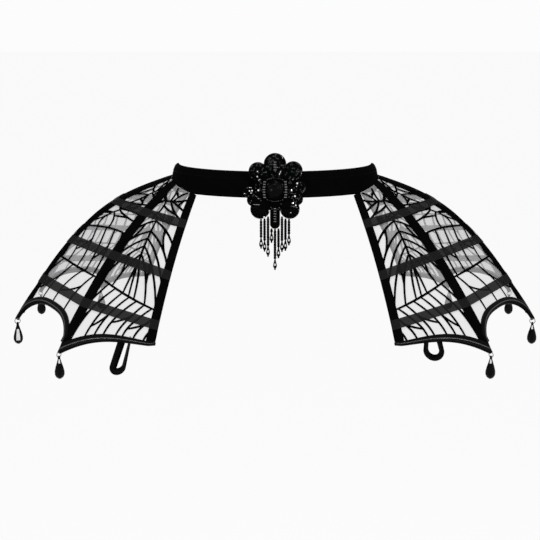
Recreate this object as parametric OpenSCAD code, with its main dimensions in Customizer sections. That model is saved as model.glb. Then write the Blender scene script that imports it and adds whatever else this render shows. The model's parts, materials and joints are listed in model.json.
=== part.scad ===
// Pannier belt: a velvet waist belt with a beaded rosette at the front and a sheer,
// rib-stiffened hip wing at each side, its scalloped hem hung with faceted drops.
// X runs across the body, -Y is the front, Z is up. The origin is the middle of the waist opening.

/* [Belt] */
// outer width of the belt at its top edge
waist_w = 256; // [200:1:340]
// outer depth of the belt at its top edge, front to back
waist_d = 184; // [150:1:260]
// height of the belt at the front and sides
belt_h = 31; // [24:1:50]
// thickness of the velvet band
belt_t = 2.4; // [1.5:0.1:4]
// how far the lower edge drops at centre back
back_dip = 12; // [0:1:20]
// how far the top edge drops at centre back
back_fall = 25.5; // [0:0.5:30]
// gap between the two ends at centre back
back_gap = 3; // [2:0.5:8]

/* [Wing] */
// how far out from the belt the side tips stand
side_reach = 193; // [150:1:250]
// how far in front of the middle the side tips stand
side_depth = 75; // [50:1:100]
// drop of the side tips below the belt's middle
side_drop = 172; // [120:1:220]
// how far out from the belt the quarter tips stand
quarter_reach = 125; // [90:1:165]
// how far in front of the belt the quarter tips stand
quarter_depth = 78; // [50:1:110]
// drop of the quarter tips
quarter_drop = 188; // [130:1:240]
// how far out from the belt the front edge corners stand
front_reach = 16; // [6:1:40]
// how far in front of the belt the front edge corners stand
front_depth = 98; // [70:1:130]
// drop of the front and back edge corners
edge_drop = 173; // [120:1:220]
// how far out from the belt the back edge corners stand
back_reach = 60; // [30:1:90]
// how far behind the belt the back edge corners stand
back_depth = 94; // [70:1:130]
// how far the wing's seam climbs the belt at the hip
seam_lift = 14; // [4:1:18]

/* [Cloth] */
// thickness of the sheer panels
panel_t = 0.6; // [0.4:0.1:1.2]
// width of the velvet rib casings
rib_w = 15; // [8:0.5:18]
// width of the casings along the front and back edges
edge_rib_w = 12; // [8:0.5:18]
// width of a rib casing at its tip
rib_tip_w = 4; // [3:0.5:8]
// thickness of the velvet rib casings
rib_t = 0.9; // [0.6:0.1:1.4]
// height of the hoop bands
band_w = 12; // [7:0.5:16]
// thickness of the hoop bands
band_t = 0.8; // [0.5:0.1:1.4]
// width of the hem binding
bind_w = 8; // [5:0.5:11]
// thickness of each side of the hem binding
bind_t = 0.9; // [0.6:0.1:1.4]
// width of the raised veins of the lace
vein_w = 2.2; // [1.2:0.1:3]
// height of the raised veins
vein_h = 0.8; // [0.4:0.1:0.9]
// free space between cloth layers
layer_gap = 0.35; // [0.3:0.05:0.5]

/* [Drops] */
// length of a hem drop
drop_l = 28; // [18:0.5:36]
// width of a hem drop
drop_w = 12.6; // [8:0.2:16]
// radius of a jump ring, to the middle of its wire
ring_r = 3.3; // [2.6:0.1:5]
// thickness of the jump ring wire
ring_wire = 0.9; // [0.6:0.1:1.2]
// thickness of a drop at its drilled top
drop_neck = 2.4; // [1.8:0.1:3]
// bore through a drop's top
drop_bore = 1.8; // [1.7:0.05:2]

/* [Ribbon loops] */
// width of the ribbon
ribbon_w = 7.5; // [5:0.5:10]
// thickness of the ribbon
ribbon_t = 0.8; // [0.5:0.1:1.2]
// hanging length of the left loop
left_loop_l = 40; // [24:1:60]
// width between the strands of the left loop
left_loop_w = 11; // [8:0.5:20]
// hanging length of the right loop
right_loop_l = 24; // [18:1:50]
// width between the strands of the right loop
right_loop_w = 19; // [10:0.5:24]

/* [Rosette] */
// width of the rosette
rosette_w = 76; // [60:1:100]
// thickness of the rosette's felt backing
backing_t = 2; // [1.5:0.1:4]
// height of a beaded petal
petal_h = 4; // [2.5:0.1:6]
// side of the bead frame
frame_w = 29; // [24:0.5:36]
// thickness of a bugle bead
bugle_d = 2.6; // [1.8:0.1:3.4]
// length of a bugle bead
bugle_l = 5.2; // [4:0.1:7]
// thickness of a round bead
bead_d = 3; // [2:0.1:3.6]
// width of the central stone
stone_w = 19; // [14:0.5:22]
// height of the central stone
stone_h = 5; // [3:0.1:7]

/* [Fringe] */
// sideways step between strands
strand_step = 4.2; // [4.1:0.1:6]
// lengths of the nine strands, left to right
strand_lengths = [36, 41, 49, 18, 50, 37, 43, 40, 32];
// thickness of a seed bead
seed_d = 2.6; // [1.4:0.1:2.8]
// length of a strand's own drop
strand_drop_l = 12; // [6:0.5:13]
// width of a strand's own drop
strand_drop_w = 3.8; // [3:0.1:4]

/* [Back closure] */
// length of a hook plate
hook_l = 9; // [6:0.5:14]
// height of a hook plate
hook_h = 5; // [3:0.5:7]
// thickness of the hook metal
hook_t = 0.9; // [0.6:0.1:1.4]
// spacing of the two hooks
hook_step = 9; // [7:0.5:12]

/* [Hidden] */
$fn = 48;

velvet = [0.03, 0.03, 0.03];
sheer = [0.8, 0.8, 0.82, 0.6];
satin = [0.07, 0.07, 0.07];
band_grey = [0.18, 0.18, 0.18];
jet = [0.05, 0.05, 0.06];
metal = [0.7, 0.7, 0.72];

// belt shape: how much each side widens for each unit of height
flare_share = 0.176;
// stations round the belt
belt_steps = 56;

// angle of each rib's top round the belt, from the front
rib_angles = [47.5, 72, 83, 97, 108, 126.4];
// how far up the seam each rib's top sits
rib_lift_shares = [0, 0.65, 1, 1, 0.65, 0];
// where each rib's bend stands between its ends: across, in depth and in height
rib_bend_shares = [[0.54, 0.46, 0.36], [0.51, 0.37, 0.32], [0.61, 0.3, 0.225],
    [0.61, 0.3, 0.225], [0.51, 0.37, 0.32], [0.54, 0.46, 0.36]];
// how tightly each rib keeps to its bend
rib_pull_shares = [0.67, 0.74, 0.81, 0.81, 0.74, 0.67];
// places of the hoop bands down each rib
rib_band_shares = [[0.252, 0.612, 0.902], [0.252, 0.545, 0.792], [0.297, 0.61, 0.824],
    [0.297, 0.61, 0.824], [0.252, 0.545, 0.792], [0.252, 0.612, 0.902]];
// places of the hoop bands down the wing as a whole
band_shares = [0.25, 0.55, 0.82];
// depth of the scallop cut out of each gore's hem
scallop_shares = [0.041, 0.105, 0.105, 0.105, 0.041];
// roundness of each scallop
scallop_round_shares = [2, 2.6, 2.6, 2.6, 2];
// fullness of each scallop at its ends
scallop_full_shares = [1, 0.55, 0.55, 0.55, 1];
// where the panels stop short of the tips
tip_cut_share = 0.955;
// where the ribs stop short of the tips
rib_end_share = 0.968;
gore_steps = 10;
gore_rows = 6;
rib_steps = 11;
hem_steps = 10;

// layers outward from the middle of the panel
vein_low = panel_t / 2 + layer_gap + layer_gap / 2;
rib_low = vein_low;
rib_high = rib_low + rib_t;
over_low = rib_high + layer_gap;
bind_low = panel_t / 2 + layer_gap;
seam_gap = layer_gap;
belt_clear = layer_gap + panel_t;

function mix(a, b, k) = a + (b - a) * k;
function unit(v) = v / norm(v);
function clamp(v, lo, hi) = min(max(v, lo), hi);

// the belt's outer half sizes at a height, and a place on it
function belt_grow(z) = (belt_h / 2 - z) * flare_share;
function fall_share(angle) = max(0, -cos(angle));
function belt_low(angle) = -belt_h / 2 - back_dip * fall_share(angle);
function belt_top(angle) = belt_h / 2 - back_fall * fall_share(angle);
function belt_at(angle, z, out) = [(waist_w / 2 + belt_grow(z) + out) * sin(angle),
    -(waist_d / 2 + belt_grow(z) + out) * cos(angle), z];

// the wing's seam on the belt, by angle and by how far up it sits
function seam_at(angle, lift_share) =
    belt_at(angle, belt_low(angle) + seam_lift * lift_share, belt_clear);

rib_tops = [for (j = [0 : 5]) seam_at(rib_angles[j], rib_lift_shares[j])];
function tip_at(reach, y, drop) = [waist_w / 2 + reach, y, -drop];
rib_tips = [tip_at(front_reach, -waist_d / 2 - front_depth, edge_drop),
    tip_at(quarter_reach, -waist_d / 2 - quarter_depth, quarter_drop),
    tip_at(side_reach, -side_depth, side_drop), tip_at(side_reach, side_depth, side_drop),
    tip_at(quarter_reach, waist_d / 2 + quarter_depth, quarter_drop),
    tip_at(back_reach, waist_d / 2 + back_depth, edge_drop)];
rib_bends = [for (j = [0 : 5])
    [for (i = [0 : 2]) mix(rib_tops[j][i], rib_tips[j][i], rib_bend_shares[j][i])]];
rib_holds = [for (j = [0 : 5]) [mix(rib_tops[j], rib_bends[j], rib_pull_shares[j]),
    mix(rib_tips[j], rib_bends[j], rib_pull_shares[j])]];

// one rib's middle line, by the wing's own share down from the belt
function down(j, t) = lookup(t, [[0, 0], [band_shares[0], rib_band_shares[j][0]],
    [band_shares[1], rib_band_shares[j][1]], [band_shares[2], rib_band_shares[j][2]], [1, 1]]);
function curve(a, b, c, d, k) = a * pow(1 - k, 3) + b * 3 * pow(1 - k, 2) * k
    + c * 3 * (1 - k) * k * k + d * pow(k, 3);
function rib_at(j, t) = curve(rib_tops[j], rib_holds[j][0], rib_holds[j][1], rib_tips[j], down(j, t));
small_share = 0.01;
function rib_run(j, t) = rib_at(j, min(1, t + small_share)) - rib_at(j, max(0, t - small_share));
function rib_side(j, t) = rib_at(min(5, j + 1), t) - rib_at(max(0, j - 1), t);
function rib_out(j, t) = unit(cross(rib_run(j, t), rib_side(j, t)));

// a place on gore g, s across from its front rib and t down from the belt, lifted out by w
function top_bow(g, s) = seam_at(mix(rib_angles[g], rib_angles[g + 1], s),
    mix(rib_lift_shares[g], rib_lift_shares[g + 1], s)) - mix(rib_tops[g], rib_tops[g + 1], s);
function gore_mid(g, s, t) = mix(rib_at(g, t), rib_at(g + 1, t), s)
    + top_bow(g, clamp(s, 0, 1)) * pow(max(0, 1 - t), 3);
function gore_out(g, s, t) = unit(mix(rib_out(g, t), rib_out(g + 1, t), clamp(s, 0, 1)));
function gore_at(g, s, t, w) = gore_mid(g, s, t) + gore_out(g, s, t) * w;
function gore_width(g, t) = norm(rib_at(g + 1, t) - rib_at(g, t));
half_share = 0.5;
function gore_fall(g) = norm(gore_mid(g, half_share, 1) - gore_mid(g, half_share, band_shares[2]))
    / (1 - band_shares[2]);

// the scalloped hem of gore g
function hem_t(g, s) = 1 - scallop_shares[g]
    * pow(max(0, 1 - pow(abs(2 * s - 1), scallop_round_shares[g])), scallop_full_shares[g]);
function even_s(k, n) = (1 - cos(180 * k / n)) / 2;

// the end of a loft: a section runs out along one edge of the cloth and back along the other,
// so its end is a strip between the two; a section with three corners is its own end
function end_faces(m) = m == 3 ? [[0, 1, 2]]
    : [for (j = [0 : m / 2 - 2]) [j, j + 1, m - 2 - j, m - 1 - j]];
// a closed solid from a row of equal sections: faces of the sides and of the two ends
function loft_faces(n, m, base) = concat(
    [for (i = [0 : n - 2]) for (k = [0 : m - 1])
        [base + i * m + k, base + i * m + (k + 1) % m, base + (i + 1) * m + (k + 1) % m]],
    [for (i = [0 : n - 2]) for (k = [0 : m - 1])
        [base + i * m + k, base + (i + 1) * m + (k + 1) % m, base + (i + 1) * m + k]],
    [for (end = end_faces(m)) [for (k = [len(end) - 1 : -1 : 0]) base + end[k]]],
    [for (end = end_faces(m)) [for (k = end) base + (n - 1) * m + k]]);

module loft(sections) {
    m = len(sections[0]);
    polyhedron([for (row = sections) for (p = row) p], loft_faces(len(sections), m, 0));
}

// several lofts that don't touch, as one body of cloth
module loft_all(list) {
    sizes = [for (sections = list) len(sections) * len(sections[0])];
    starts = [for (i = 0, at = 0; i < len(list); at = at + sizes[i], i = i + 1) at];
    polyhedron([for (sections = list) for (row = sections) for (p = row) p],
        [for (i = [0 : len(list) - 1])
            each loft_faces(len(list[i]), len(list[i][0]), starts[i])]);
}

module on_side(left) {
    if (left)
        mirror([1, 0, 0]) children();
    else
        children();
}

// the belt
end_angle = 180 - atan(back_gap / (waist_w + belt_h * flare_share));
module waist_belt() {
    color(velvet)
        loft([for (i = [0 : belt_steps])
            let (angle = mix(end_angle, -end_angle, i / belt_steps),
                lo = belt_low(angle), hi = belt_top(angle))
            [belt_at(angle, lo, 0), belt_at(angle, hi, 0),
                belt_at(angle, hi, -belt_t), belt_at(angle, lo, -belt_t)]]);
}

// the hook and eye closure, on the belt's inner face at centre back
back_z = (belt_low(180) + belt_top(180)) / 2;
back_tilt = atan(flare_share);
hook_wire = hook_t / 2;
// the plates lie inside the belt's curve over their whole length
hook_turn = asin((back_gap + hook_t * 4 + hook_l) / (waist_w / 2));
hook_low = hook_t + layer_gap;
hook_reach = back_gap + hook_t * 2 + layer_gap * 2;
module at_back(step) {
    inner = belt_at(180 - hook_turn, back_z + step, -belt_t - layer_gap);
    translate([0, inner[1] - hook_t, inner[2]])
        rotate([back_tilt, 0, 0])
            children();
}

module hook() {
    translate([back_gap / 2, 0, -hook_h / 2])
        cube([hook_l, hook_t, hook_h]);
    translate([-hook_reach, -hook_low, -hook_h / 4])
        cube([hook_reach + back_gap / 2 + hook_t * 3, hook_t, hook_h / 2]);
    translate([back_gap / 2, -hook_low, -hook_h / 4])
        cube([hook_t * 3, hook_low + hook_t, hook_h / 2]);
    translate([-hook_reach, -hook_low, -hook_h / 4])
        cube([hook_t, hook_low + hook_t, hook_h / 2]);
}

module eye() {
    translate([-back_gap - hook_wire - layer_gap / 2, hook_wire, -hook_h / 2])
        cylinder(h = hook_h, d = hook_t);
    for (z = [-hook_h / 2, hook_h / 2 - hook_t])
        translate([-back_gap - hook_t * 4 - hook_l / 2, 0, z])
            cube([hook_l / 2 + hook_t * 4 - hook_wire, hook_t, hook_t]);
    translate([-back_gap - hook_t * 4 - hook_l / 2, 0, -hook_h / 2])
        cube([hook_l / 2, hook_t, hook_h]);
}

module back_hooks() {
    color(metal)
        for (step = [-hook_step / 2, hook_step / 2])
            at_back(step) hook();
}

module back_eyes() {
    color(metal)
        for (step = [-hook_step / 2, hook_step / 2])
            at_back(step) eye();
}

// one rib casing, bent over the seam between its two gores; below the last band it narrows to its tip
function casing_w(j, t) = let (w = j == 0 || j == 5 ? edge_rib_w : rib_w)
    mix(w, min(w, rib_tip_w), max(0, t - band_shares[2]) / (rib_end_share - band_shares[2]));
module rib(j) {
    loft([for (i = [0 : rib_steps])
        let (t = rib_end_share * i / rib_steps, g = max(0, j - 1), h = min(4, j), half = casing_w(j, t) / 2,
            a = j == 0 ? -half / gore_width(0, t) : 1 - half / gore_width(g, t),
            b = j == 5 ? 1 + half / gore_width(4, t) : half / gore_width(h, t))
        [gore_at(g, a, t, rib_low), gore_at(h, j == 5 ? 1 : 0, t, rib_low), gore_at(h, b, t, rib_low),
            gore_at(h, b, t, rib_high), gore_at(h, j == 5 ? 1 : 0, t, rib_high),
            gore_at(g, a, t, rib_high)]]);
}

// one sheer gore: a thin panel from the belt down to its scallop
function gore_end(g, s) = min(hem_t(g, s) - layer_gap / gore_fall(g),
    (g == 0 && s < half_share) || (g == 4 && s > half_share) ? 1 : tip_cut_share);
// rows down the panel, the last of them only as deep as the binding
function gore_row(end, i, last_row) = i > gore_rows ? end : (end - last_row) * i / gore_rows;
module gore(g) {
    n = gore_steps + 1;
    m = gore_rows + 2;
    half = panel_t / 2;
    places = [for (k = [0 : gore_steps]) for (i = [0 : gore_rows + 1])
        let (raw = even_s(k, gore_steps), t = gore_row(gore_end(g, raw), i, bind_w / gore_fall(g)),
            gap = seam_gap / 2 / gore_width(g, t))
        [clamp(raw, gap, 1 - gap), t]];
    outer = [for (p = places) gore_at(g, p[0], p[1], half)];
    inner = [for (p = places) gore_at(g, p[0], p[1], -half)];
    o = n * m;
    rim = concat([for (i = [0 : m - 1]) i], [for (k = [1 : n - 1]) k * m + m - 1],
        [for (i = [1 : m - 1]) (n - 1) * m + m - 1 - i], [for (k = [1 : n - 2]) (n - 1 - k) * m]);
    polyhedron(concat(outer, inner), concat(
        [for (k = [0 : n - 2]) for (i = [0 : m - 2]) [k * m + i, (k + 1) * m + i, (k + 1) * m + i + 1]],
        [for (k = [0 : n - 2]) for (i = [0 : m - 2]) [k * m + i, (k + 1) * m + i + 1, k * m + i + 1]],
        [for (k = [0 : n - 2]) for (i = [0 : m - 2])
            [o + k * m + i, o + (k + 1) * m + i + 1, o + (k + 1) * m + i]],
        [for (k = [0 : n - 2]) for (i = [0 : m - 2])
            [o + k * m + i, o + k * m + i + 1, o + (k + 1) * m + i + 1]],
        [for (k = [0 : len(rim) - 1]) [rim[k], rim[(k + 1) % len(rim)], o + rim[(k + 1) % len(rim)]]],
        [for (k = [0 : len(rim) - 1]) [rim[k], o + rim[(k + 1) % len(rim)], o + rim[k]]]));
}

// one hoop band over the ribs, from the front edge to the back edge
band_steps = 4;
module hoop_band(b) {
    loft([for (g = [0 : 4]) for (k = [(g == 0 ? 0 : 1) : band_steps])
        let (over = edge_rib_w / 2 / gore_width(g, band_shares[b]),
            s = mix(g == 0 ? -over : 0, g == 4 ? 1 + over : 1, k / band_steps),
            half = band_w / 2 / gore_long(g, b, s), up = band_shares[b] - half, low = band_shares[b] + half)
        [gore_at(g, s, up, over_low), gore_at(g, s, up, over_low + band_t),
            gore_at(g, s, low, over_low + band_t), gore_at(g, s, low, over_low)]]);
}
function gore_long(g, b, s) = norm(gore_mid(g, s, band_shares[b] + small_share)
    - gore_mid(g, s, band_shares[b] - small_share)) / small_share / 2;

// the folded hem binding, in five lengths mitred at the tips
bind_lip = layer_gap * 2;
bind_min = 3;
// how much of the hem's own step the inner edge keeps in a mitre
mitre_share = 0.25;
function hem_turn(g, s) = (hem_t(g, min(1, s + small_share)) - hem_t(g, max(0, s - small_share)))
    / (min(1, s + small_share) - max(0, s - small_share));
function hem_in(g, s, in) = let (width = gore_width(g, 1), fall = gore_fall(g),
    v = unit([hem_turn(g, s) * fall, -width])) [v[0] * in / width, v[1] * in / fall];
// where the sections stand: on the panel's own corners, and out over the edge ribs
function bind_places(g) =
    let (gap = seam_gap / gore_width(g, 1), over = edge_rib_w / 2 / gore_width(g, 1))
    concat(g == 0 ? [-over] : [],
        [for (k = [0 : hem_steps]) clamp(even_s(k, hem_steps), g == 0 ? 0 : gap, g == 4 ? 1 : 1 - gap)],
        g == 4 ? [1 + over] : []);
function bind_section(g, a, lo, hi) =
    let (fall = gore_fall(g), at = clamp(a, 0, 1), t = hem_t(g, at), move = hem_in(g, at, bind_w),
        ia = clamp(a + move[0], mix(lo, a, mitre_share), mix(hi, a, mitre_share)),
        it = min(t + move[1], t - bind_min / fall),
        et = t + layer_gap / fall, lt = et + bind_lip / fall)
    [gore_at(g, ia, it, over_low + bind_t), gore_at(g, a, lt, over_low + bind_t),
        gore_at(g, a, lt, -bind_low - bind_t), gore_at(g, ia, it, -bind_low - bind_t),
        gore_at(g, ia, it, -bind_low), gore_at(g, a, et, -bind_low),
        gore_at(g, a, et, over_low), gore_at(g, ia, it, over_low)];
module hem_binding() {
    color(satin)
        loft_all([for (g = [0 : 4])
            let (places = bind_places(g), last = places[len(places) - 1])
            [for (a = places) bind_section(g, a, places[0], last)]]);
}

// the lace: leaf veins in rows between midribs that cross each gore
// a midrib's height at the front rib and at the back rib, and its bow
front_midrib_shares = [[0.27, 0.215, 0.02], [0.745, 0.68, 0.01]];
side_midrib_shares = [[0.19, 0.23, 0.01], [0.415, 0.455, -0.02], [0.69, 0.665, 0.005]];
// a row of veins: where its first and last vein start, where they end, and their bow
front_row_shares = [[0.04, 0.97, 0.4, 0.76, 0.05], [0, 0, 0, 0, 0], [-0.16, 0.82, 0.1, 1.04, 0.06]];
side_row_shares = [[0.12, 0.9, 0.24, 0.8, 0.05], [-0.12, 0.76, 0.14, 1.06, 0.07],
    [0.14, 1.12, -0.06, 0.92, -0.06], [-0.12, 0.84, 0.06, 1.02, 0.05]];
// veins in each row; the front gore's middle row is a leaf
front_row_veins = [6, 0, 9];
side_row_veins = [4, 6, 8, 7];
// the leaf's own upright midrib, and where its veins leave it and end
leaf_row = 1;
leaf_veins = 6;
leaf_mid_shares = [0.62, 0.57, 0.47];
leaf_leave_shares = [0.04, 0.66];
leaf_edge_share = 0.55;
leaf_top_share = 0.36;
leaf_lean_shares = [0.74, 0.3];
lace_top_share = 0.02;
vein_steps = 3;
midrib_steps = 5;
cut_steps = 40;
cut_least = 8;

function is_front(g) = g == 0 || g == 4;
function midribs(g) = is_front(g) ? front_midrib_shares : side_midrib_shares;
function midrib_t(g, i, s) = let (m = midribs(g)[i - 1]) mix(m[0], m[1], s) + 4 * m[2] * s * (1 - s);
function lace_t(g, i, s) = i == 0 ? lace_top_share : i <= len(midribs(g)) ? midrib_t(g, i, s)
    : hem_t(g, clamp(s, 0, 1)) - bind_w * half_share / gore_fall(g);
// veins stop just short of the midribs
function end_gap(g) = vein_w * 2 / gore_fall(g);
function vein_from(g, i, s) = [s, lace_t(g, i, s) + end_gap(g)];
function vein_to(g, i, s) = [s, lace_t(g, i + 1, s) - end_gap(g)];
function row_vein(g, i, row, q) =
    let (first = vein_from(g, i, mix(row[0], row[1], q)), last = vein_to(g, i, mix(row[2], row[3], q)))
    [first, (first + last) / 2 + [2 * row[4], 0], last];
function leaf_mid(g) = [vein_from(g, leaf_row, leaf_mid_shares[0]),
    [leaf_mid_shares[1], (lace_t(g, leaf_row, half_share) + lace_t(g, leaf_row + 1, half_share)) / 2],
    vein_to(g, leaf_row, leaf_mid_shares[2])];
function leaf_end(g, edge, q) = q < leaf_edge_share
    ? [edge, mix(leaf_top_share, vein_to(g, leaf_row, edge)[1], q / leaf_edge_share)]
    : vein_to(g, leaf_row, mix(edge, leaf_mid_shares[2], (q - leaf_edge_share) / (1 - leaf_edge_share)));
function leaf_vein(g, edge, q) =
    let (leave = bend(leaf_mid(g), mix(leaf_leave_shares[0], leaf_leave_shares[1], q)),
        side = (edge - half_share) * vein_w * 4 / gore_width(g, leave[1]),
        first = leave + [side, 0], last = leaf_end(g, edge, q))
    [first, [mix(first[0], last[0], leaf_lean_shares[0]), mix(first[1], last[1], leaf_lean_shares[1])], last];

function bend(v, k) = v[0] * pow(1 - k, 2) + v[1] * 2 * k * (1 - k) + v[2] * k * k;
// how near to a rib's middle a vein may come
function edge_room(g, t) = ((max(rib_w, edge_rib_w) + vein_w) / 2 + layer_gap * 2) / gore_width(g, t);
function clear_of_ribs(g, v) = [for (i = [0 : cut_steps])
    let (p = bend(v, i / cut_steps), room = edge_room(g, p[1]))
    if (p[0] > room && p[0] < 1 - room) i / cut_steps];
// one vein's sections, between the places where it meets the ribs
function vein(g, v, steps) =
    let (free = clear_of_ribs(g, v))
    len(free) < cut_least ? [] : let (at = [for (i = [0 : steps])
            let (p = bend(v, mix(min(free), max(free), i / steps))) [g > 2 ? 1 - p[0] : p[0], p[1]]],
        p = [for (q = at) gore_mid(g, q[0], q[1])])
    [for (i = [0 : steps])
        let (out = gore_out(g, at[i][0], at[i][1]), run = unit(p[min(steps, i + 1)] - p[max(0, i - 1)]),
            side = unit(cross(out, run)) * vein_w / 2)
        [p[i] + out * vein_low - side, p[i] + out * vein_low + side, p[i] + out * (vein_low + vein_h)]];
function gore_veins(g) =
    let (rows = is_front(g) ? front_row_shares : side_row_shares,
        counts = is_front(g) ? front_row_veins : side_row_veins)
    concat([for (i = [1 : len(midribs(g))])
            vein(g, [[0, midrib_t(g, i, 0)], [half_share, 2 * midrib_t(g, i, half_share)
                - (midrib_t(g, i, 0) + midrib_t(g, i, 1)) / 2], [1, midrib_t(g, i, 1)]], midrib_steps)],
        [for (i = [0 : len(rows) - 1]) for (k = [0 : 1 : counts[i] - 1])
            vein(g, row_vein(g, i, rows[i], k / (counts[i] - 1)), vein_steps)],
        is_front(g) ? [vein(g, leaf_mid(g), vein_steps)] : [],
        is_front(g) ? [for (edge = [0, 1]) for (k = [0 : leaf_veins - 1])
            vein(g, leaf_vein(g, edge, (k + half_share) / leaf_veins), vein_steps)] : []);
module vein_lace() {
    color(velvet)
        loft_all([for (g = [0 : 4]) for (v = gore_veins(g)) if (len(v) > 0) v]);
}

// a ribbon loop hanging inside the front hem
loop_place_shares = [0.29, 0.4];
loop_steps = 12;
loop_turn = [48, 16];
module ribbon_loop(length, width, turn, place) {
    t = hem_t(0, place);
    hem = gore_at(0, place, t, -bind_low - bind_t);
    along = gore_mid(0, 1, t) - gore_mid(0, 0, t);
    fall = length - width / 2;
    rise = bind_w * half_share;
    // how far back the loop stands so that its top just clears the binding's inner side
    corners = [for (i = [-1, 1]) for (k = [-1, 1]) let (x = i * (width + ribbon_t) / 2, y = k * ribbon_w / 2)
        [x * cos(turn) - y * sin(turn), x * sin(turn) + y * cos(turn), 0]];
    stand = max([for (c = corners) for (up = [0, rise])
        let (s = place + c * along / (along * along), down = hem_t(0, s) - up / gore_fall(0),
            out = gore_out(0, s, down), face = gore_at(0, s, down, -bind_low - bind_t))
        ((hem + c + [0, 0, up] - face) * out + layer_gap) / -out[1]]);
    // the path of the ribbon's middle: down one strand, round the foot and up the other
    path = concat([[-width / 2, rise]], [for (i = [0 : loop_steps])
        let (a = 180 + 180 * i / loop_steps) [width / 2 * cos(a), -fall + width / 2 * sin(a)]],
        [[width / 2, rise]]);
    out = concat([[-1, 0]], [for (i = [0 : loop_steps])
        let (a = 180 + 180 * i / loop_steps) [cos(a), sin(a)]], [[1, 0]]);
    translate([hem[0], hem[1] + stand, hem[2]])
        rotate([0, 0, turn])
            loft([for (i = [0 : len(path) - 1])
                let (a = path[i] - out[i] * ribbon_t / 2, b = path[i] + out[i] * ribbon_t / 2)
                [[a[0], -ribbon_w / 2, a[1]], [a[0], ribbon_w / 2, a[1]],
                    [b[0], ribbon_w / 2, b[1]], [b[0], -ribbon_w / 2, b[1]]]]);
}

// the jump rings through the hem's tips, and the drops on them
ring_sink = ring_r * 0.4;
function tip_turn(j) = atan2(rib_tips[j][1], rib_tips[j][0] - waist_w / 2);
module at_tip(j) {
    translate([rib_tips[j][0], rib_tips[j][1], rib_tips[j][2] - ring_sink])
        rotate([0, 0, tip_turn(j)])
            children();
}

module jump_rings() {
    color(metal)
        for (j = [1 : 4])
            at_tip(j)
                rotate([90, 0, 0])
                    rotate_extrude()
                        translate([ring_r, 0])
                            circle(d = ring_wire);
}

// outline of a drop from its drilled top down: shares of its width and of its length
drop_outline_shares = [[0.13, 0], [0.17, 0.05], [0.2, 0.14], [0.34, 0.4], [0.49, 0.66],
    [0.5, 0.75], [0.4, 0.9], [0.2, 0.985]];
drop_sides = 8;
drop_head_share = 0.062;
// the crown of a drop stands inside the ring, over the wire
drop_top = drop_bore / 2 + drop_l * drop_head_share / 2;
module drop(j) {
    color(jet)
        at_tip(j)
            translate([0, 0, -ring_r])
                difference() {
                    rotate_extrude($fn = drop_sides)
                        polygon(concat([[0, drop_top]],
                            [for (p = drop_outline_shares) [p[0] * drop_w, drop_top - p[1] * drop_l]],
                            [[0, drop_top - drop_l]]));
                    rotate([0, 90, 0])
                        cylinder(h = drop_w, d = drop_bore, center = true);
                    for (s = [-1, 1])
                        translate([s * (drop_neck + drop_w) / 2, 0, drop_top - ring_r * 1.5])
                            cube([drop_w, drop_w, ring_r * 3], center = true);
                }
}

// the rosette: a felt backing of lobes, shares of its width across, up and in radius
lobe_shares = [[0, 0.4, 0.178], [0.285, 0.3, 0.149], [-0.27, 0.29, 0.145], [0.385, 0.035, 0.1],
    [-0.41, -0.04, 0.095], [0.235, -0.308, 0.155], [-0.235, -0.308, 0.155],
    [0.345, -0.15, 0.098], [-0.345, -0.165, 0.098]];
core_share = 0.34;
tongue_share = 0.079;
tongue_fall_share = 0.545;
rosette_z = -5;
rosette_y = -belt_at(0, belt_low(0), 0)[1] + layer_gap;
face_y = rosette_y + backing_t;
tongue_r = rosette_w * tongue_share;
lobe_low = lobe_shares[5] * rosette_w;
petal_share = 0.72;
module at_face(x, z, out) {
    translate([x, -face_y - out, rosette_z + z])
        rotate([90, 0, 0])
            children();
}

module rosette_backing() {
    color(velvet)
        translate([0, -rosette_y, rosette_z])
            rotate([90, 0, 0])
                linear_extrude(backing_t)
                    union() {
                        circle(r = rosette_w * core_share);
                        for (p = lobe_shares)
                            translate([p[0], p[1]] * rosette_w)
                                circle(r = p[2] * rosette_w);
                        translate([-tongue_r, -rosette_w * tongue_fall_share])
                            square([tongue_r * 2, rosette_w * tongue_fall_share]);
                        translate([0, -rosette_w * tongue_fall_share])
                            circle(r = tongue_r);
                    }
}

// outline of a petal: a low dome with three rows of beading
petal_rows = 3;
row_steps = 4;
row_share = 0.16;
module petal(r) {
    rotate_extrude()
        polygon(concat([[0, 0]], [[r, 0]], [for (i = [0 : petal_rows * row_steps])
            let (k = i / petal_rows / row_steps, a = 90 * k)
            [r * cos(a), petal_h * (sin(a) * (1 - row_share)
                + row_share * abs(sin(180 * k * petal_rows)) + small_share)]],
            [[0, petal_h * (1 - row_share)]]));
}

module rosette_petals() {
    color(jet)
        for (p = lobe_shares)
            at_face(p[0] * rosette_w, p[1] * rosette_w, layer_gap)
                petal(p[2] * rosette_w * petal_share);
}

bugles = 6;
round_beads = 5;
ladder = 7;
top_ladder = 4;
module bugle(x, z, out) {
    at_face(x, z, out)
        rotate([0, 90, 0])
            cylinder(h = bugle_l, d = bugle_d, center = true);
}

module rosette_frame() {
    side = frame_w / 2 - bugle_d / 2;
    up = frame_w / 2 - bead_d / 2;
    color(jet) {
        for (s = [-1, 1])
            for (i = [0 : bugles - 1])
                bugle(s * side, (i - (bugles - 1) / 2) * (bugle_d + layer_gap * 2),
                    layer_gap + bugle_d / 2);
        for (s = [-1, 1])
            for (i = [0 : round_beads - 1])
                at_face((i - (round_beads - 1) / 2) * (bead_d + layer_gap * 3), s * up,
                    layer_gap + bead_d / 2)
                    sphere(d = bead_d);
        for (i = [0 : ladder - 1])
            bugle(0, -up - bead_d - (i + half_share) * (bugle_d + layer_gap * 2), layer_gap + bugle_d / 2);
        for (i = [0 : top_ladder - 1])
            bugle(0, lobe_shares[0][1] * rosette_w + (i - top_ladder / 2) * (bugle_d + layer_gap),
                petal_h + layer_gap + bugle_d / 2);
    }
}

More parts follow.
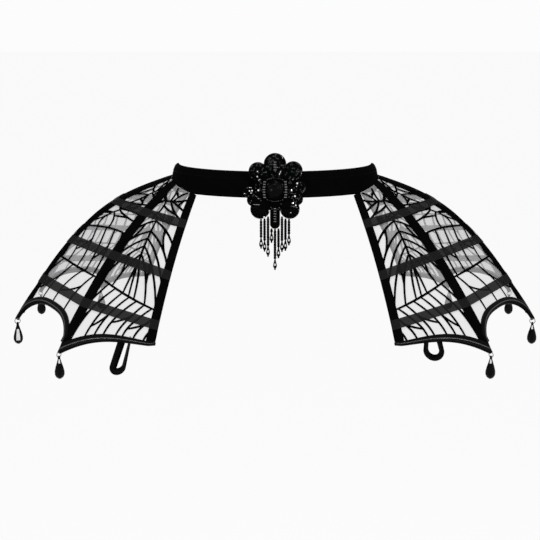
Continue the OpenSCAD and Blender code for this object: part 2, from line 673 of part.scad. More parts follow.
stone_steps = 6;
stone_edge_share = 0.35;
module rosette_stone() {
    color(jet)
        at_face(0, 0, layer_gap)
            rotate_extrude()
                polygon(concat([[0, 0], [stone_w / 2, 0]], [for (i = [0 : stone_steps])
                    let (a = 90 * i / stone_steps)
                    [stone_w / 2 * cos(a), stone_h * mix(stone_edge_share, 1, sin(a))]]));
}

// the fringe: strands of seed beads, each ending in its own small drop
middle_strand = 4;
seed_waist_share = 0.5;
seed_long_share = 1.05;
strand_drop_shares = [[0.2, 0.02], [0.34, 0.3], [0.5, 0.62], [0.46, 0.78], [0.2, 0.98]];
function strand_x(i) = (i - middle_strand) * strand_step;
function edge_z(x) = rosette_z + (abs(x) < tongue_r
    ? -rosette_w * tongue_fall_share - sqrt(tongue_r * tongue_r - x * x)
    : lobe_low[1] - sqrt(max(0, lobe_low[2] * lobe_low[2] - pow(abs(x) - lobe_low[0], 2))));
// the pin that a strand swings on, shares of a bead in thickness and length
pin_shares = [0.8, 1.2];
// a strand hangs under the lowest felt over its pin
function strand_top(x) = min([for (k = [-1, 0, 1]) edge_z(x + k * seed_d * pin_shares[1] / 2)]) - layer_gap;
module fringe_strand(i) {
    foot = seed_d;
    run = strand_lengths[i] - strand_drop_l - foot;
    n = max(2, round(run / (seed_d * seed_long_share)));
    waist = seed_d / 2 * seed_waist_share;
    color(jet)
        translate([strand_x(i), -rosette_y - backing_t / 2, strand_top(strand_x(i))]) {
            rotate_extrude()
                polygon(concat([[0, 0], [waist, 0]],
                    [for (k = [0 : n - 1])
                        each [[seed_d / 2, -run * (k + half_share) / n], [waist, -run * (k + 1) / n]]],
                    [for (p = strand_drop_shares) [p[0] * strand_drop_w, -run - p[1] * strand_drop_l]],
                    [[waist, -run - strand_drop_l], [seed_d / 2, -run - strand_drop_l - foot / 2],
                        [0, -run - strand_drop_l - foot]]));
            translate([0, 0, -seed_d / 2])
                rotate([0, 90, 0])
                    cylinder(h = seed_d * pin_shares[1], d = seed_d * pin_shares[0], center = true);
        }
}

module velvet_rib(left, j) {
    color(velvet)
        on_side(left) rib(j);
}

module sheer_gore(left, g) {
    color(sheer)
        on_side(left) gore(g);
}

module grey_band(left, b) {
    color(band_grey)
        on_side(left) hoop_band(b);
}

waist_belt();
back_hooks();
back_eyes();
rosette_backing();
rosette_petals();
rosette_frame();
rosette_stone();
fringe_strand(0);  // fringe_strand_1
fringe_strand(1);  // fringe_strand_2
fringe_strand(2);  // fringe_strand_3
fringe_strand(3);  // fringe_strand_4
fringe_strand(4);  // fringe_strand_5
fringe_strand(5);  // fringe_strand_6
fringe_strand(6);  // fringe_strand_7
fringe_strand(7);  // fringe_strand_8
fringe_strand(8);  // fringe_strand_9
velvet_rib(true, 0);  // left_front_edge_rib
velvet_rib(true, 1);  // left_front_rib
velvet_rib(true, 2);  // left_side_front_rib
velvet_rib(true, 3);  // left_side_back_rib
velvet_rib(true, 4);  // left_back_rib
velvet_rib(true, 5);  // left_back_edge_rib
sheer_gore(true, 0);  // left_front_gore
sheer_gore(true, 1);  // left_side_front_gore
sheer_gore(true, 2);  // left_side_gore
sheer_gore(true, 3);  // left_side_back_gore
sheer_gore(true, 4);  // left_back_gore
grey_band(true, 0);  // left_upper_band
grey_band(true, 1);  // left_middle_band
grey_band(true, 2);  // left_lower_band
on_side(true) hem_binding();  // left_hem_binding
on_side(true) vein_lace();  // left_vein_lace
color(satin) on_side(true) ribbon_loop(left_loop_l, left_loop_w, loop_turn[0], loop_place_shares[0]);  // left_ribbon_loop
on_side(true) jump_rings();  // left_jump_rings
on_side(true) drop(1);  // left_front_drop
on_side(true) drop(2);  // left_side_front_drop
on_side(true) drop(3);  // left_side_back_drop
on_side(true) drop(4);  // left_back_drop
velvet_rib(false, 0);  // right_front_edge_rib
velvet_rib(false, 1);  // right_front_rib
velvet_rib(false, 2);  // right_side_front_rib
velvet_rib(false, 3);  // right_side_back_rib
velvet_rib(false, 4);  // right_back_rib
velvet_rib(false, 5);  // right_back_edge_rib
sheer_gore(false, 0);  // right_front_gore
sheer_gore(false, 1);  // right_side_front_gore
sheer_gore(false, 2);  // right_side_gore
sheer_gore(false, 3);  // right_side_back_gore
sheer_gore(false, 4);  // right_back_gore
grey_band(false, 0);  // right_upper_band
grey_band(false, 1);  // right_middle_band
grey_band(false, 2);  // right_lower_band
on_side(false) hem_binding();  // right_hem_binding
on_side(false) vein_lace();  // right_vein_lace
color(satin) on_side(false) ribbon_loop(right_loop_l, right_loop_w, loop_turn[1], loop_place_shares[1]);  // right_ribbon_loop
on_side(false) jump_rings();  // right_jump_rings
on_side(false) drop(1);  // right_front_drop
on_side(false) drop(2);  // right_side_front_drop
on_side(false) drop(3);  // right_side_back_drop
on_side(false) drop(4);  // right_back_drop
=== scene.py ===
"""Pannier belt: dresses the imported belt, its beaded rosette and its two sheer hip wings.

Lengths are in metres, X runs across the body, -Y is the front and Z is up.
"""

import json
import math

import bpy
import numpy as np
from bpy.props import FloatProperty, FloatVectorProperty, IntProperty, PointerProperty
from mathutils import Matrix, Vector


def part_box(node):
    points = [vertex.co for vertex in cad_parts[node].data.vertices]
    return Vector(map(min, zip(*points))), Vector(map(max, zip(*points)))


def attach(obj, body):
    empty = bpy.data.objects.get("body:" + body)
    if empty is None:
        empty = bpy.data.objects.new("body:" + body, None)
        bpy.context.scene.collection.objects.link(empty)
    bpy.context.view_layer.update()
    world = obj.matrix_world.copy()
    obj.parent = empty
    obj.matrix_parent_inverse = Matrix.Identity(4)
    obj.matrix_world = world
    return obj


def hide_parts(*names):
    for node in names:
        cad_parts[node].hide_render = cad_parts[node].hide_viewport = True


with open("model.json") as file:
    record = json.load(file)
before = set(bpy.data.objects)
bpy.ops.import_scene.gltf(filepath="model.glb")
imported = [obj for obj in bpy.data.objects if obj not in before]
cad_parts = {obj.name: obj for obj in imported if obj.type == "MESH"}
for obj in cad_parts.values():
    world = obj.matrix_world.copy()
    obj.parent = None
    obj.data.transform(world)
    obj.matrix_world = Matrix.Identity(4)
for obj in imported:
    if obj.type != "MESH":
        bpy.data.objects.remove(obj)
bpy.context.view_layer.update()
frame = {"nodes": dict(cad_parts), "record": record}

bl_info = {
    "name": "Pannier belt",
    "version": (1, 0, 0),
    "blender": (4, 5, 0),
    "location": "3D View > Sidebar > Pannier belt",
    "description": "Velvet belt with a beaded rosette and two sheer, ribbed hip wings",
    "category": "Add Mesh",
}

ROOT_BODY = "belt"
SIDES = (("left", -1), ("right", 1))

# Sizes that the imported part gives
BELT_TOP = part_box("waist_belt")[1].z
STONE_LOW, STONE_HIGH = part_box("rosette_stone")
STONE_RADIUS = (STONE_HIGH.x - STONE_LOW.x) / 2
FACE_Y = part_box("rosette_backing")[0].y
FACE_Z = (STONE_LOW.z + STONE_HIGH.z) / 2

# The wing's pieces, front to back or top to bottom
RIB_NAMES = ("front_edge", "front", "side_front", "side_back", "back", "back_edge")
GORE_NAMES = ("front", "side_front", "side", "side_back", "back")
BAND_NAMES = ("upper", "middle", "lower")
DROP_NAMES = ("front", "side_front", "side_back", "back")
LAST_RIB, LAST_GORE = len(RIB_NAMES) - 1, len(GORE_NAMES) - 1

# The ribs, front to back: angle round the belt, share of the seam's lift, place of the bend, pull towards it
RIB_ANGLES = (47.5, 72, 83, 97, 108, 126.4)
RIB_LIFTS = (0, 0.65, 1, 1, 0.65, 0)
EDGE_BEND, FRONT_BEND, SIDE_BEND = (0.54, 0.46, 0.36), (0.51, 0.37, 0.32), (0.61, 0.3, 0.225)
RIB_BENDS = (EDGE_BEND, FRONT_BEND, SIDE_BEND, SIDE_BEND, FRONT_BEND, EDGE_BEND)
RIB_PULLS = (0.67, 0.74, 0.81, 0.81, 0.74, 0.67)
# Where the hoop bands cross each rib, and the heights down a gore that stand for them
EDGE_HOOPS, FRONT_HOOPS, SIDE_HOOPS = (0.252, 0.612, 0.902), (0.252, 0.545, 0.792), (0.297, 0.61, 0.824)
RIB_HOOPS = (EDGE_HOOPS, FRONT_HOOPS, SIDE_HOOPS, SIDE_HOOPS, FRONT_HOOPS, EDGE_HOOPS)
HOOPS = (0.25, 0.55, 0.82)
# The scallops, front to back: depth as a share of the height, then powers for roundness and fullness
SCALLOPS = (0.041, 0.105, 0.105, 0.105, 0.041)
SCALLOP_ROUND = (2, 2.6, 2.6, 2.6, 2)
SCALLOP_FULL = (1, 0.55, 0.55, 0.55, 1)
# Where the panels' tips and the rib casings end, as shares down a gore
TIP_CUT, RIB_END = 0.955, 0.968


def length(name, value, about):
    """A length that a user would change."""
    return FloatProperty(name=name, description=about, default=value, unit="LENGTH", precision=5)


def colour(name, value, about):
    """A colour that a user would change."""
    return FloatVectorProperty(name=name, description=about, default=value, size=3, subtype="COLOR",
                               min=0, max=1)


def point(name, value, about):
    """A place that a user would change."""
    return FloatVectorProperty(name=name, description=about, default=value, size=3,
                               subtype="TRANSLATION", unit="LENGTH", precision=5)


class BeltSizes(bpy.types.PropertyGroup):
    """Sizes of the velvet belt."""

    width: length("Width", 0.256, "Outer width at the top edge")
    depth: length("Depth", 0.184, "Outer depth at the top edge, front to back")
    height: length("Height", BELT_TOP * 2, "Height at the front and sides")
    thickness: length("Thickness", 0.0024, "Thickness of the velvet band")
    back_dip: length("Back dip", 0.012, "How far the lower edge drops at centre back")
    back_fall: length("Back fall", 0.0255, "How far the top edge drops at centre back")
    back_gap: length("Back gap", 0.003, "Gap between the two ends at centre back")
    flare: FloatProperty(name="Flare", description="Widening of each side for each unit of height",
                         default=0.176)
    stitch: length("Stitch", 0.0026, "Length of one stitch along the edges")


class WingSizes(bpy.types.PropertyGroup):
    """Sizes of one wing, given for the right side."""

    front_tip: point("Front corner", (0.144, -0.190, -0.173), "Lower corner of the front edge rib")
    quarter_tip: point("Quarter tip", (0.253, -0.170, -0.188), "Tip of the front rib")
    side_tip: point("Side tip", (0.321, -0.075, -0.172), "Tip of the front one of the side ribs")
    back_tip: point("Back corner", (0.188, 0.186, -0.173), "Lower corner of the back edge rib")
    seam_lift: length("Seam lift", 0.014, "How far the wing's seam climbs the belt at the hip")
    belt_clear: length("Seam clearance", 0.00095, "Distance of the seam from the belt")
    rib_width: length("Rib width", 0.015, "Width of the velvet rib casings")
    edge_width: length("Edge rib width", 0.012, "Width of the casings along the front and back edges")
    rib_thick: length("Rib thickness", 0.0009, "Thickness of the velvet rib casings")
    band_width: length("Band height", 0.012, "Height of the hoop bands")
    band_thick: length("Band thickness", 0.0008, "Thickness of the hoop bands")
    bind_width: length("Binding width", 0.008, "Width of the satin hem binding")
    bind_thick: length("Binding thickness", 0.0009, "Thickness of each side of the binding")
    panel_thick: length("Panel thickness", 0.0006, "Space that a sheer panel takes")
    layer_gap: length("Layer gap", 0.00035, "Free space between layers of cloth")
    vein_width: length("Vein width", 0.003, "Width of the flocked veins")
    vein_height: length("Vein height", 0.0008, "Height of the flocked veins")


class BeadSizes(bpy.types.PropertyGroup):
    """Sizes of the beads on the rosette, the fringe and the hem."""

    seed: length("Seed bead", 0.0033, "Thickness of a seed bead")
    rim: length("Row bead", 0.0021, "Thickness of the beads in the petals' rows")
    round: length("Round bead", 0.003, "Thickness of the frame's round beads")
    bugle_thick: length("Bugle thickness", 0.0026, "Thickness of a bugle bead")
    bugle_long: length("Bugle length", 0.0036, "Length of a bugle bead")
    crystal: length("Crystal", 0.0023, "Width of a small crystal")
    frame_width: length("Frame width", 0.029, "Side of the bead frame")
    petal_height: length("Petal height", 0.004, "Height of a beaded petal")
    drop_width: length("Drop width", 0.0126, "Width of a hem drop")
    fringe_drop: length("Fringe drop", 0.012, "Length of the drop on a fringe strand")
    fringe_drop_width: length("Fringe drop width", 0.005, "Width of the drop on a fringe strand")


class Finishes(bpy.types.PropertyGroup):
    """Colours of the cloth, beads and metal."""

    velvet: colour("Velvet", (0.0009, 0.0009, 0.001), "Black silk velvet")
    veil: colour("Veil", (0.40, 0.40, 0.41), "Pale sheer organza")
    band: colour("Hoop band", (0.005, 0.005, 0.0052), "Sheer black tape")
    satin: colour("Satin", (0.0018, 0.0018, 0.002), "Black satin binding")
    jet: colour("Jet", (0.0008, 0.0008, 0.0009), "Black glass beads")
    silver: colour("Silver", (0.12, 0.12, 0.125), "Jump rings")
    felt: colour("Felt", (0.0008, 0.0008, 0.0008), "Rosette backing")


class PannierBelt(bpy.types.PropertyGroup):
    """Everything that shapes the pannier belt."""

    belt: PointerProperty(type=BeltSizes)
    wing: PointerProperty(type=WingSizes)
    beads: PointerProperty(type=BeadSizes)
    finish: PointerProperty(type=Finishes)
    smoothness: IntProperty(name="Smoothness", description="Steps across a gore", default=28, min=8)


# Shapes as formulas

def mix(a, b, k):
    """The place k of the way from a to b."""
    return a + (b - a) * k


def column(values):
    """Values as a column, to scale rows of points."""
    return np.asarray(values, float)[..., None]


def unit(v):
    """Vectors at length one."""
    return v / np.linalg.norm(v, axis=-1, keepdims=True)


def steps_along(points, axis=0):
    """Lengths of the steps from point to point."""
    return np.linalg.norm(np.diff(points, axis=axis), axis=-1)


def run_along(points):
    """The distance run up to each point of a line."""
    return np.concatenate([[0], np.cumsum(steps_along(points))])


def eased(count):
    """Shares from 0 to 1, closer together at both ends."""
    return (1 - np.cos(np.pi * np.linspace(0, 1, count))) / 2


def about_z(angle):
    """Axes, as rows, turned by an angle about the vertical."""
    c, s = math.cos(angle), math.sin(angle)
    return np.array(((c, s, 0), (-s, c, 0), (0, 0, 1)))


def scattered(i):
    """A share from 0 to 1 that jumps about as i counts up."""
    gain, rate = 1000, 12.9
    return gain * math.sin(rate * i) % 1


class BeltShape:
    """The belt's surface by angle round the waist, measured from the front."""

    def __init__(self, sizes):
        self.sizes = sizes

    def fall(self, angle):
        return np.maximum(0, -np.cos(np.radians(angle)))

    def low(self, angle):
        return -self.sizes.height / 2 - self.sizes.back_dip * self.fall(angle)

    def top(self, angle):
        return self.sizes.height / 2 - self.sizes.back_fall * self.fall(angle)

    def at(self, angle, z, out):
        grow = (self.sizes.height / 2 - z) * self.sizes.flare + out
        a = np.radians(angle)
        return np.stack([(self.sizes.width / 2 + grow) * np.sin(a),
                         -(self.sizes.depth / 2 + grow) * np.cos(a), z + 0 * a], -1)


class WingShape:
    """Ribs, gores and hem of the right wing; a place on a gore is s across and t down."""

    # Step for slopes, as a share of the height, and how many layer gaps ribs and veins lie off a panel
    STEP, VEIN_GAPS = 0.01, 1.5

    def __init__(self, settings):
        self.belt = BeltShape(settings.belt)
        self.sizes = wing = settings.wing
        self.tops = np.array([self.seam(a, k) for a, k in zip(RIB_ANGLES, RIB_LIFTS)])
        to_back = np.array((1, -1, 1))
        quarter, side = np.array(wing.quarter_tip), np.array(wing.side_tip)
        self.tips = np.array([wing.front_tip, quarter, side, side * to_back, quarter * to_back,
                              wing.back_tip])
        bends = mix(self.tops, self.tips, np.array(RIB_BENDS))
        pull = column(RIB_PULLS)
        self.holds = mix(self.tops, bends, pull), mix(self.tips, bends, pull)
        gap = wing.layer_gap
        self.vein_low = wing.panel_thick / 2 + gap * self.VEIN_GAPS
        self.rib_high = self.vein_low + wing.rib_thick
        self.over_low = self.rib_high + gap
        self.bind_low = wing.panel_thick / 2 + gap

    def seam(self, angle, lift):
        low = self.belt.low(angle) + self.sizes.seam_lift * np.asarray(lift)
        return self.belt.at(angle, low, self.sizes.belt_clear)

    def rib(self, j, t):
        k = column(np.interp(t, (0, *HOOPS, 1), (0, *RIB_HOOPS[j], 1)))
        a, b, c, d = self.tops[j], self.holds[0][j], self.holds[1][j], self.tips[j]
        return a * (1 - k) ** 3 + b * 3 * (1 - k) ** 2 * k + c * 3 * (1 - k) * k * k + d * k ** 3

    def rib_out(self, j, t):
        run = self.rib(j, np.minimum(1, t + self.STEP)) - self.rib(j, np.maximum(0, t - self.STEP))
        side = self.rib(min(LAST_RIB, j + 1), t) - self.rib(max(0, j - 1), t)
        return unit(np.cross(run, side))

    def mid(self, g, s, t):
        inside = np.clip(s, 0, 1)
        seam = self.seam(mix(RIB_ANGLES[g], RIB_ANGLES[g + 1], inside),
                         mix(RIB_LIFTS[g], RIB_LIFTS[g + 1], inside))
        bow = seam - mix(self.tops[g], self.tops[g + 1], column(inside))
        return mix(self.rib(g, t), self.rib(g + 1, t), column(s)) + bow * column(np.maximum(0, 1 - t) ** 3)

    def out(self, g, s, t):
        return unit(mix(self.rib_out(g, t), self.rib_out(g + 1, t), column(np.clip(s, 0, 1))))

    def at(self, g, s, t, w):
        """The place s across and t down gore g, lifted out by w."""
        s, t = np.broadcast_arrays(np.asarray(s, float), np.asarray(t, float))
        return self.mid(g, s, t) + self.out(g, s, t) * column(w + 0 * s)

    def width(self, g, t):
        return np.linalg.norm(self.rib(g + 1, t) - self.rib(g, t), axis=-1)

    def fall(self, g):
        low, high = self.mid(g, 0.5, 1.0), self.mid(g, 0.5, HOOPS[-1])
        return np.linalg.norm(low - high) / (1 - HOOPS[-1])

    def hem(self, g, s):
        round_off = np.maximum(0, 1 - np.abs(2 * s - 1) ** SCALLOP_ROUND[g])
        return 1 - SCALLOPS[g] * round_off ** SCALLOP_FULL[g]

    def panel_end(self, g, s):
        """Where the sheer panel ends, inside the binding and short of the tips."""
        at_edge = (s < 0.5) if g == 0 else (s > 0.5) if g == LAST_GORE else np.zeros_like(s, bool)
        return np.minimum(self.hem(g, s) - self.sizes.layer_gap / self.fall(g), np.where(at_edge, 1, TIP_CUT))

    def across_rib(self, j, t, d, w):
        """The place at distance d from rib j's middle line, on the gore that lies there."""
        if d < 0:
            g = max(0, j - 1)
            start = 0 if j == 0 else 1
        else:
            g = min(LAST_GORE, j)
            start = 1 if j == LAST_RIB else 0
        return self.at(g, start + d / self.width(g, t), t, w)


# Meshes

class Mesh:
    """Points, faces and cloth coordinates that grow into one piece."""

    def __init__(self):
        self.points, self.faces, self.uvs, self.count = [], [], [], 0

    def add(self, points, faces, uvs=None):
        base = self.count
        self.points.append(np.asarray(points, float).reshape(-1, 3))
        self.faces += [[base + i for i in f] for f in faces]
        self.uvs += uvs if uvs is not None else [[(0.0, 0.0)] * len(f) for f in faces]
        self.count += len(self.points[-1])

    def grid(self, rows, solid=False):
        """Rows of points as cloth, or as a solid with each row closed on itself and both ends capped."""
        rows = np.asarray(rows, float)
        n, m = rows.shape[:2]
        wide = np.concatenate([rows, rows[:, :1]], 1) if solid else rows
        u = run_along(wide[n // 2])
        v = run_along(rows[:, m // 2])
        faces, uvs = [], []
        for i in range(n - 1):
            for k in range(m if solid else m - 1):
                q = (k + 1) % m
                faces.append([i * m + k, i * m + q, (i + 1) * m + q, (i + 1) * m + k])
                uvs.append([(u[k], v[i]), (u[k + 1], v[i]), (u[k + 1], v[i + 1]), (u[k], v[i + 1])])
        if solid:
            for i, order in ((0, range(m - 1, -1, -1)), (n - 1, range(m))):
                faces.append([i * m + k for k in order])
                uvs.append([(u[k], v[i]) for k in order])
        self.add(rows, faces, uvs)

    def scatter(self, template, places, frames):
        """Copies of a small template, each at a place with its own axes as rows."""
        points, faces = template
        for place, axes in zip(places, frames):
            self.add(np.asarray(place) + points @ np.asarray(axes), faces)

    def piece(self, name, material, sign=1, smooth=True):
        """The finished object; sign -1 mirrors it to the left side."""
        points = np.concatenate(self.points) * np.array((sign, 1, 1))
        faces, uvs = self.faces, self.uvs
        if sign < 0:
            faces, uvs = [f[::-1] for f in faces], [c[::-1] for c in uvs]
        data = bpy.data.meshes.new(name)
        data.from_pydata(points.tolist(), [], faces)
        layer = data.uv_layers.new(name="cloth")
        layer.data.foreach_set("uv", np.array([x for c in uvs for p in c for x in p], np.float32))
        data.polygons.foreach_set("use_smooth", [smooth] * len(data.polygons))
        data.validate()
        data.update()
        made = bpy.data.objects.new(name, data)
        bpy.context.scene.collection.objects.link(made)
        made.data.materials.append(material)
        return made


def settle(piece, nodes, body=ROOT_BODY):
    """Rides a piece on its body in place of its nodes."""
    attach(piece, body)
    if nodes:
        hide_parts(*nodes)


def body_of_node(node):
    """The body that a node belongs to."""
    for body, members in frame["record"]["behaviour"]["bodies"].items():
        if node in members:
            return body
    raise RuntimeError(f"{node} is on no body")


def revolve(outline, sides, twist=0.0):
    """A small turned form from (radius, height) pairs; twist turns each ring by a share of a step."""
    points, faces = [], []
    for i, (r, z) in enumerate(outline):
        for k in range(sides):
            a = 2 * math.pi * (k + twist * i) / sides
            points.append((r * math.cos(a), r * math.sin(a), z))
    n = len(outline)
    for i in range(n - 1):
        for k in range(sides):
            q = (k + 1) % sides
            a, b, c, d = i * sides + k, i * sides + q, (i + 1) * sides + q, (i + 1) * sides + k
            faces += [[a, b, d], [b, c, d]] if twist else [[a, b, c, d]]
    faces.append(list(range(sides - 1, -1, -1)))
    faces.append([(n - 1) * sides + k for k in range(sides)])
    return np.array(points), faces


def round_bead(size, flat=0.85):
    """A six-sided round bead of that thickness, with a flat end at its hole."""
    hole, angles = 0.3, np.linspace(0, math.pi, 5)
    return revolve([(size / 2 * max(hole, math.sin(a)), -size / 2 * flat * math.cos(a)) for a in angles], 6)


def barrel_bead(size):
    """A short eight-sided barrel along its own z, as thick as it is long."""
    outline = ((0.36, -0.5), (0.5, -0.28), (0.5, 0.28), (0.36, 0.5))
    return revolve([(r * size, z * size) for r, z in outline], 8)


def bugle_bead(thick, long):
    """A ten-sided bugle bead along its own z."""
    edge = thick * 0.12
    return revolve([(thick / 2 - edge, -long / 2), (thick / 2, -long / 2 + edge),
                    (thick / 2, long / 2 - edge), (thick / 2 - edge, long / 2)], 10)


def cut_crystal(size):
    """A rose-cut crystal of eight sides, flat behind."""
    outline = ((0.5, 0), (0.5, 0.08), (0.36, 0.24), (0.17, 0.34))
    return revolve([(r * size, z * size) for r, z in outline], 8, twist=0.5)


# Finishes

class Shading:
    """A material under construction: its nodes and how they are linked."""

    # Radians that the wave texture turns for each unit of its scale
    WAVE_RATE = 20

    def __init__(self, name):
        self.material = bpy.data.materials.new(name)
        self.material.use_nodes = True
        self.nodes = self.material.node_tree.nodes
        self.links = self.material.node_tree.links
        self.shader = self.nodes["Principled BSDF"]

    def set(self, **values):
        for name, value in values.items():
            self.shader.inputs[name.replace("_", " ")].default_value = value

    def node(self, kind, **values):
        made = self.nodes.new(kind)
        for name, value in values.items():
            if name in made.inputs:
                made.inputs[name].default_value = value
            else:
                setattr(made, name, value)
        return made

    def place(self, kind):
        return self.node("ShaderNodeTexCoord").outputs[kind]

    def noise(self, scale, detail=4.0):
        made = self.node("ShaderNodeTexNoise", Scale=scale, Detail=detail)
        self.links.new(self.place("Object"), made.inputs["Vector"])
        return made.outputs["Fac"]

    def threads(self, pitch, direction):
        """Bands one thread wide across the cloth's own coordinates."""
        made = self.node("ShaderNodeTexWave", bands_direction=direction,
                         Scale=2 * math.pi / self.WAVE_RATE / pitch)
        self.links.new(self.place("UV"), made.inputs["Vector"])
        return made.outputs["Fac"]

    def weave(self, operation, pitch):
        """Threads that run both ways across the cloth, put together by an operation."""
        made = self.node("ShaderNodeMath", operation=operation)
        for socket, direction in zip(made.inputs, "XY"):
            self.links.new(self.threads(pitch, direction), socket)
        return made.outputs[0]

    def shades(self, specks, dark, light):
        """The base colour, from dark to light in specks."""
        made = self.node("ShaderNodeMix", data_type="RGBA")
        self.links.new(specks, made.inputs["Factor"])
        made.inputs["A"].default_value = (*dark, 1)
        made.inputs["B"].default_value = (*light, 1)
        self.links.new(made.outputs["Result"], self.shader.inputs["Base Color"])

    def tints(self, specks, base, dark, light):
        """The base colour times a dark and a light share, in specks."""
        self.shades(specks, *(tuple(min(1, c * share) for c in base) for share in (dark, light)))

    def range(self, factor, low, high, socket):
        """A factor spread from low to high on one of the shader's sockets."""
        made = self.node("ShaderNodeMapRange")
        self.links.new(factor, made.inputs["Value"])
        made.inputs["To Min"].default_value = low
        made.inputs["To Max"].default_value = high
        self.links.new(made.outputs["Result"], self.shader.inputs[socket])

    def bump(self, height, strength, distance):
        made = self.node("ShaderNodeBump", Strength=strength, Distance=distance)
        self.links.new(height, made.inputs["Height"])
        self.links.new(made.outputs["Normal"], self.shader.inputs["Normal"])


def finish(make):
    """The material that a function makes, made once."""
    name = make.__name__
    if name not in bpy.data.materials:
        make(Shading(name), bpy.context.scene.pannier_belt.finish)
    return bpy.data.materials[name]


def black_velvet(m, colours):
    """Short black pile that drinks the light, a little paler where it is brushed."""
    m.tints(m.noise(160), colours.velvet, 0.6, 1.6)
    m.set(Roughness=0.95, Specular_IOR_Level=0.01, Sheen_Weight=0.001, Sheen_Roughness=0.35)
    m.bump(m.noise(3200, detail=2), strength=0.35, distance=0.0004)


def flock(m, colours):
    """Flocked veins: velvet pile, shorter and denser."""
    m.tints(m.noise(900), colours.velvet, 0.5, 1.3)
    m.set(Roughness=1.0, Specular_IOR_Level=0.01, Sheen_Weight=0.001, Sheen_Roughness=0.3)
    m.bump(m.noise(5200, detail=2), strength=0.4, distance=0.0003)


def veil(m, colours):
    """Organza: fine pale threads with open squares between them."""
    weave = m.weave("MAXIMUM", pitch=0.0006)
    m.tints(m.noise(26), colours.veil, 0.94, 1.05)
    m.range(weave, 0.32, 0.45, "Alpha")
    m.set(Roughness=0.62, Specular_IOR_Level=0.2, Sheen_Weight=0.1, Sheen_Roughness=0.4)


def hoop_tape(m, colours):
    """Close woven sheer tape: what lies under it shows as a darker shade."""
    weave = m.weave("MULTIPLY", pitch=0.0007)
    m.tints(m.noise(420), colours.band, 0.85, 1.15)
    m.range(weave, 0.974, 0.952, "Alpha")
    m.set(Roughness=0.75, Specular_IOR_Level=0.05)
    m.bump(weave, strength=0.25, distance=0.0002)


def satin_tape(m, colours):
    """Satin tape with a faint gloss and a slanted weave."""
    m.tints(m.noise(70), colours.satin, 0.7, 1.4)
    m.range(m.noise(500), 0.3, 0.42, "Roughness")
    m.set(Specular_IOR_Level=0.02, Anisotropic=0.4)
    m.bump(m.threads(0.0005, "DIAGONAL"), strength=0.08, distance=0.0002)


def satin_fold(m, colours):
    """The tape's folded ridge: a painted highlight, coloured many times paler than the satin for the streak
    of light along the fold; its gloss is real.
    """
    # Painted highlight: the satin's colour times 4 to 14
    m.tints(m.noise(60), colours.satin, 4, 14)
    m.range(m.noise(300), 0.3, 0.45, "Roughness")
    m.set(Specular_IOR_Level=0.4)


def grosgrain(m, colours):
    """Ribbon with fine cross ribs."""
    m.tints(m.noise(90), colours.satin, 0.4, 0.9)
    m.set(Roughness=0.55, Specular_IOR_Level=0.03)
    m.bump(m.threads(0.0009, "Y"), strength=0.3, distance=0.0003)


def rosette_felt(m, colours):
    """Black felt with a loose nap."""
    m.tints(m.noise(700), colours.felt, 0.5, 1.6)
    m.set(Roughness=1.0, Specular_IOR_Level=0.02)
    m.bump(m.noise(1400), strength=0.5, distance=0.0006)


def jet(m, colours):
    """Polished black glass."""
    m.tints(m.noise(400, detail=2), colours.jet, 0.7, 1.3)
    m.range(m.noise(900, detail=2), 0.05, 0.1, "Roughness")
    m.set(Specular_IOR_Level=0.032)


def drop_jet(m, colours):
    """Polished black glass of the hem drops."""
    m.tints(m.noise(120, detail=2), colours.jet, 0.7, 1.3)
    m.range(m.noise(300, detail=2), 0.05, 0.1, "Roughness")
    m.set(Specular_IOR_Level=0.06)


def dull_jet(m, colours):
    """Pressed black stone with a worn face."""
    m.tints(m.noise(200, detail=2), colours.jet, 0.8, 2.0)
    m.range(m.noise(300, detail=2), 0.2, 0.34, "Roughness")
    m.set(Specular_IOR_Level=0.035)


def foil_crystal(m, colours):
    """Clear crystal with a mirror foil behind it."""
    m.shades(m.noise(600, detail=2), (0.7, 0.7, 0.72), (0.95, 0.95, 0.96))
    m.set(Metallic=1.0, Roughness=0.08)


def lined_glass(m, colours):
    """Silver-lined glass beads set in front of some jets: partly real beads, partly painted glints for the
    light that the jets catch.
    """
    m.shades(m.noise(700, detail=2), (0.035, 0.035, 0.037), (0.32, 0.32, 0.33))
    m.set(Metallic=1.0, Roughness=0.16)


def smoke_glass(m, colours):
    """Pale facets of the drops: a painted highlight and reflection where the glass would catch the light."""
    m.shades(m.noise(500, detail=2), (0.5, 0.5, 0.51), (0.8, 0.8, 0.81))
    m.set(Metallic=0.7, Roughness=0.2)


def silver(m, colours):
    """Bright drawn wire, lightly rubbed."""
    m.tints(m.noise(800), colours.silver, 0.85, 1.12)
    m.range(m.noise(1500), 0.2, 0.36, "Roughness")
    m.set(Metallic=1.0)


def blacked_steel(m, colours):
    """Dark nickel of the hooks and eyes."""
    m.tints(m.noise(500), colours.silver, 0.45, 0.7)
    m.range(m.noise(900), 0.25, 0.45, "Roughness")
    m.set(Metallic=1.0)


def paint_node(node, make):
    """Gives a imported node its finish."""
    target = frame["nodes"][node]
    target.data.materials.clear()
    target.data.materials.append(finish(make))


# Pieces

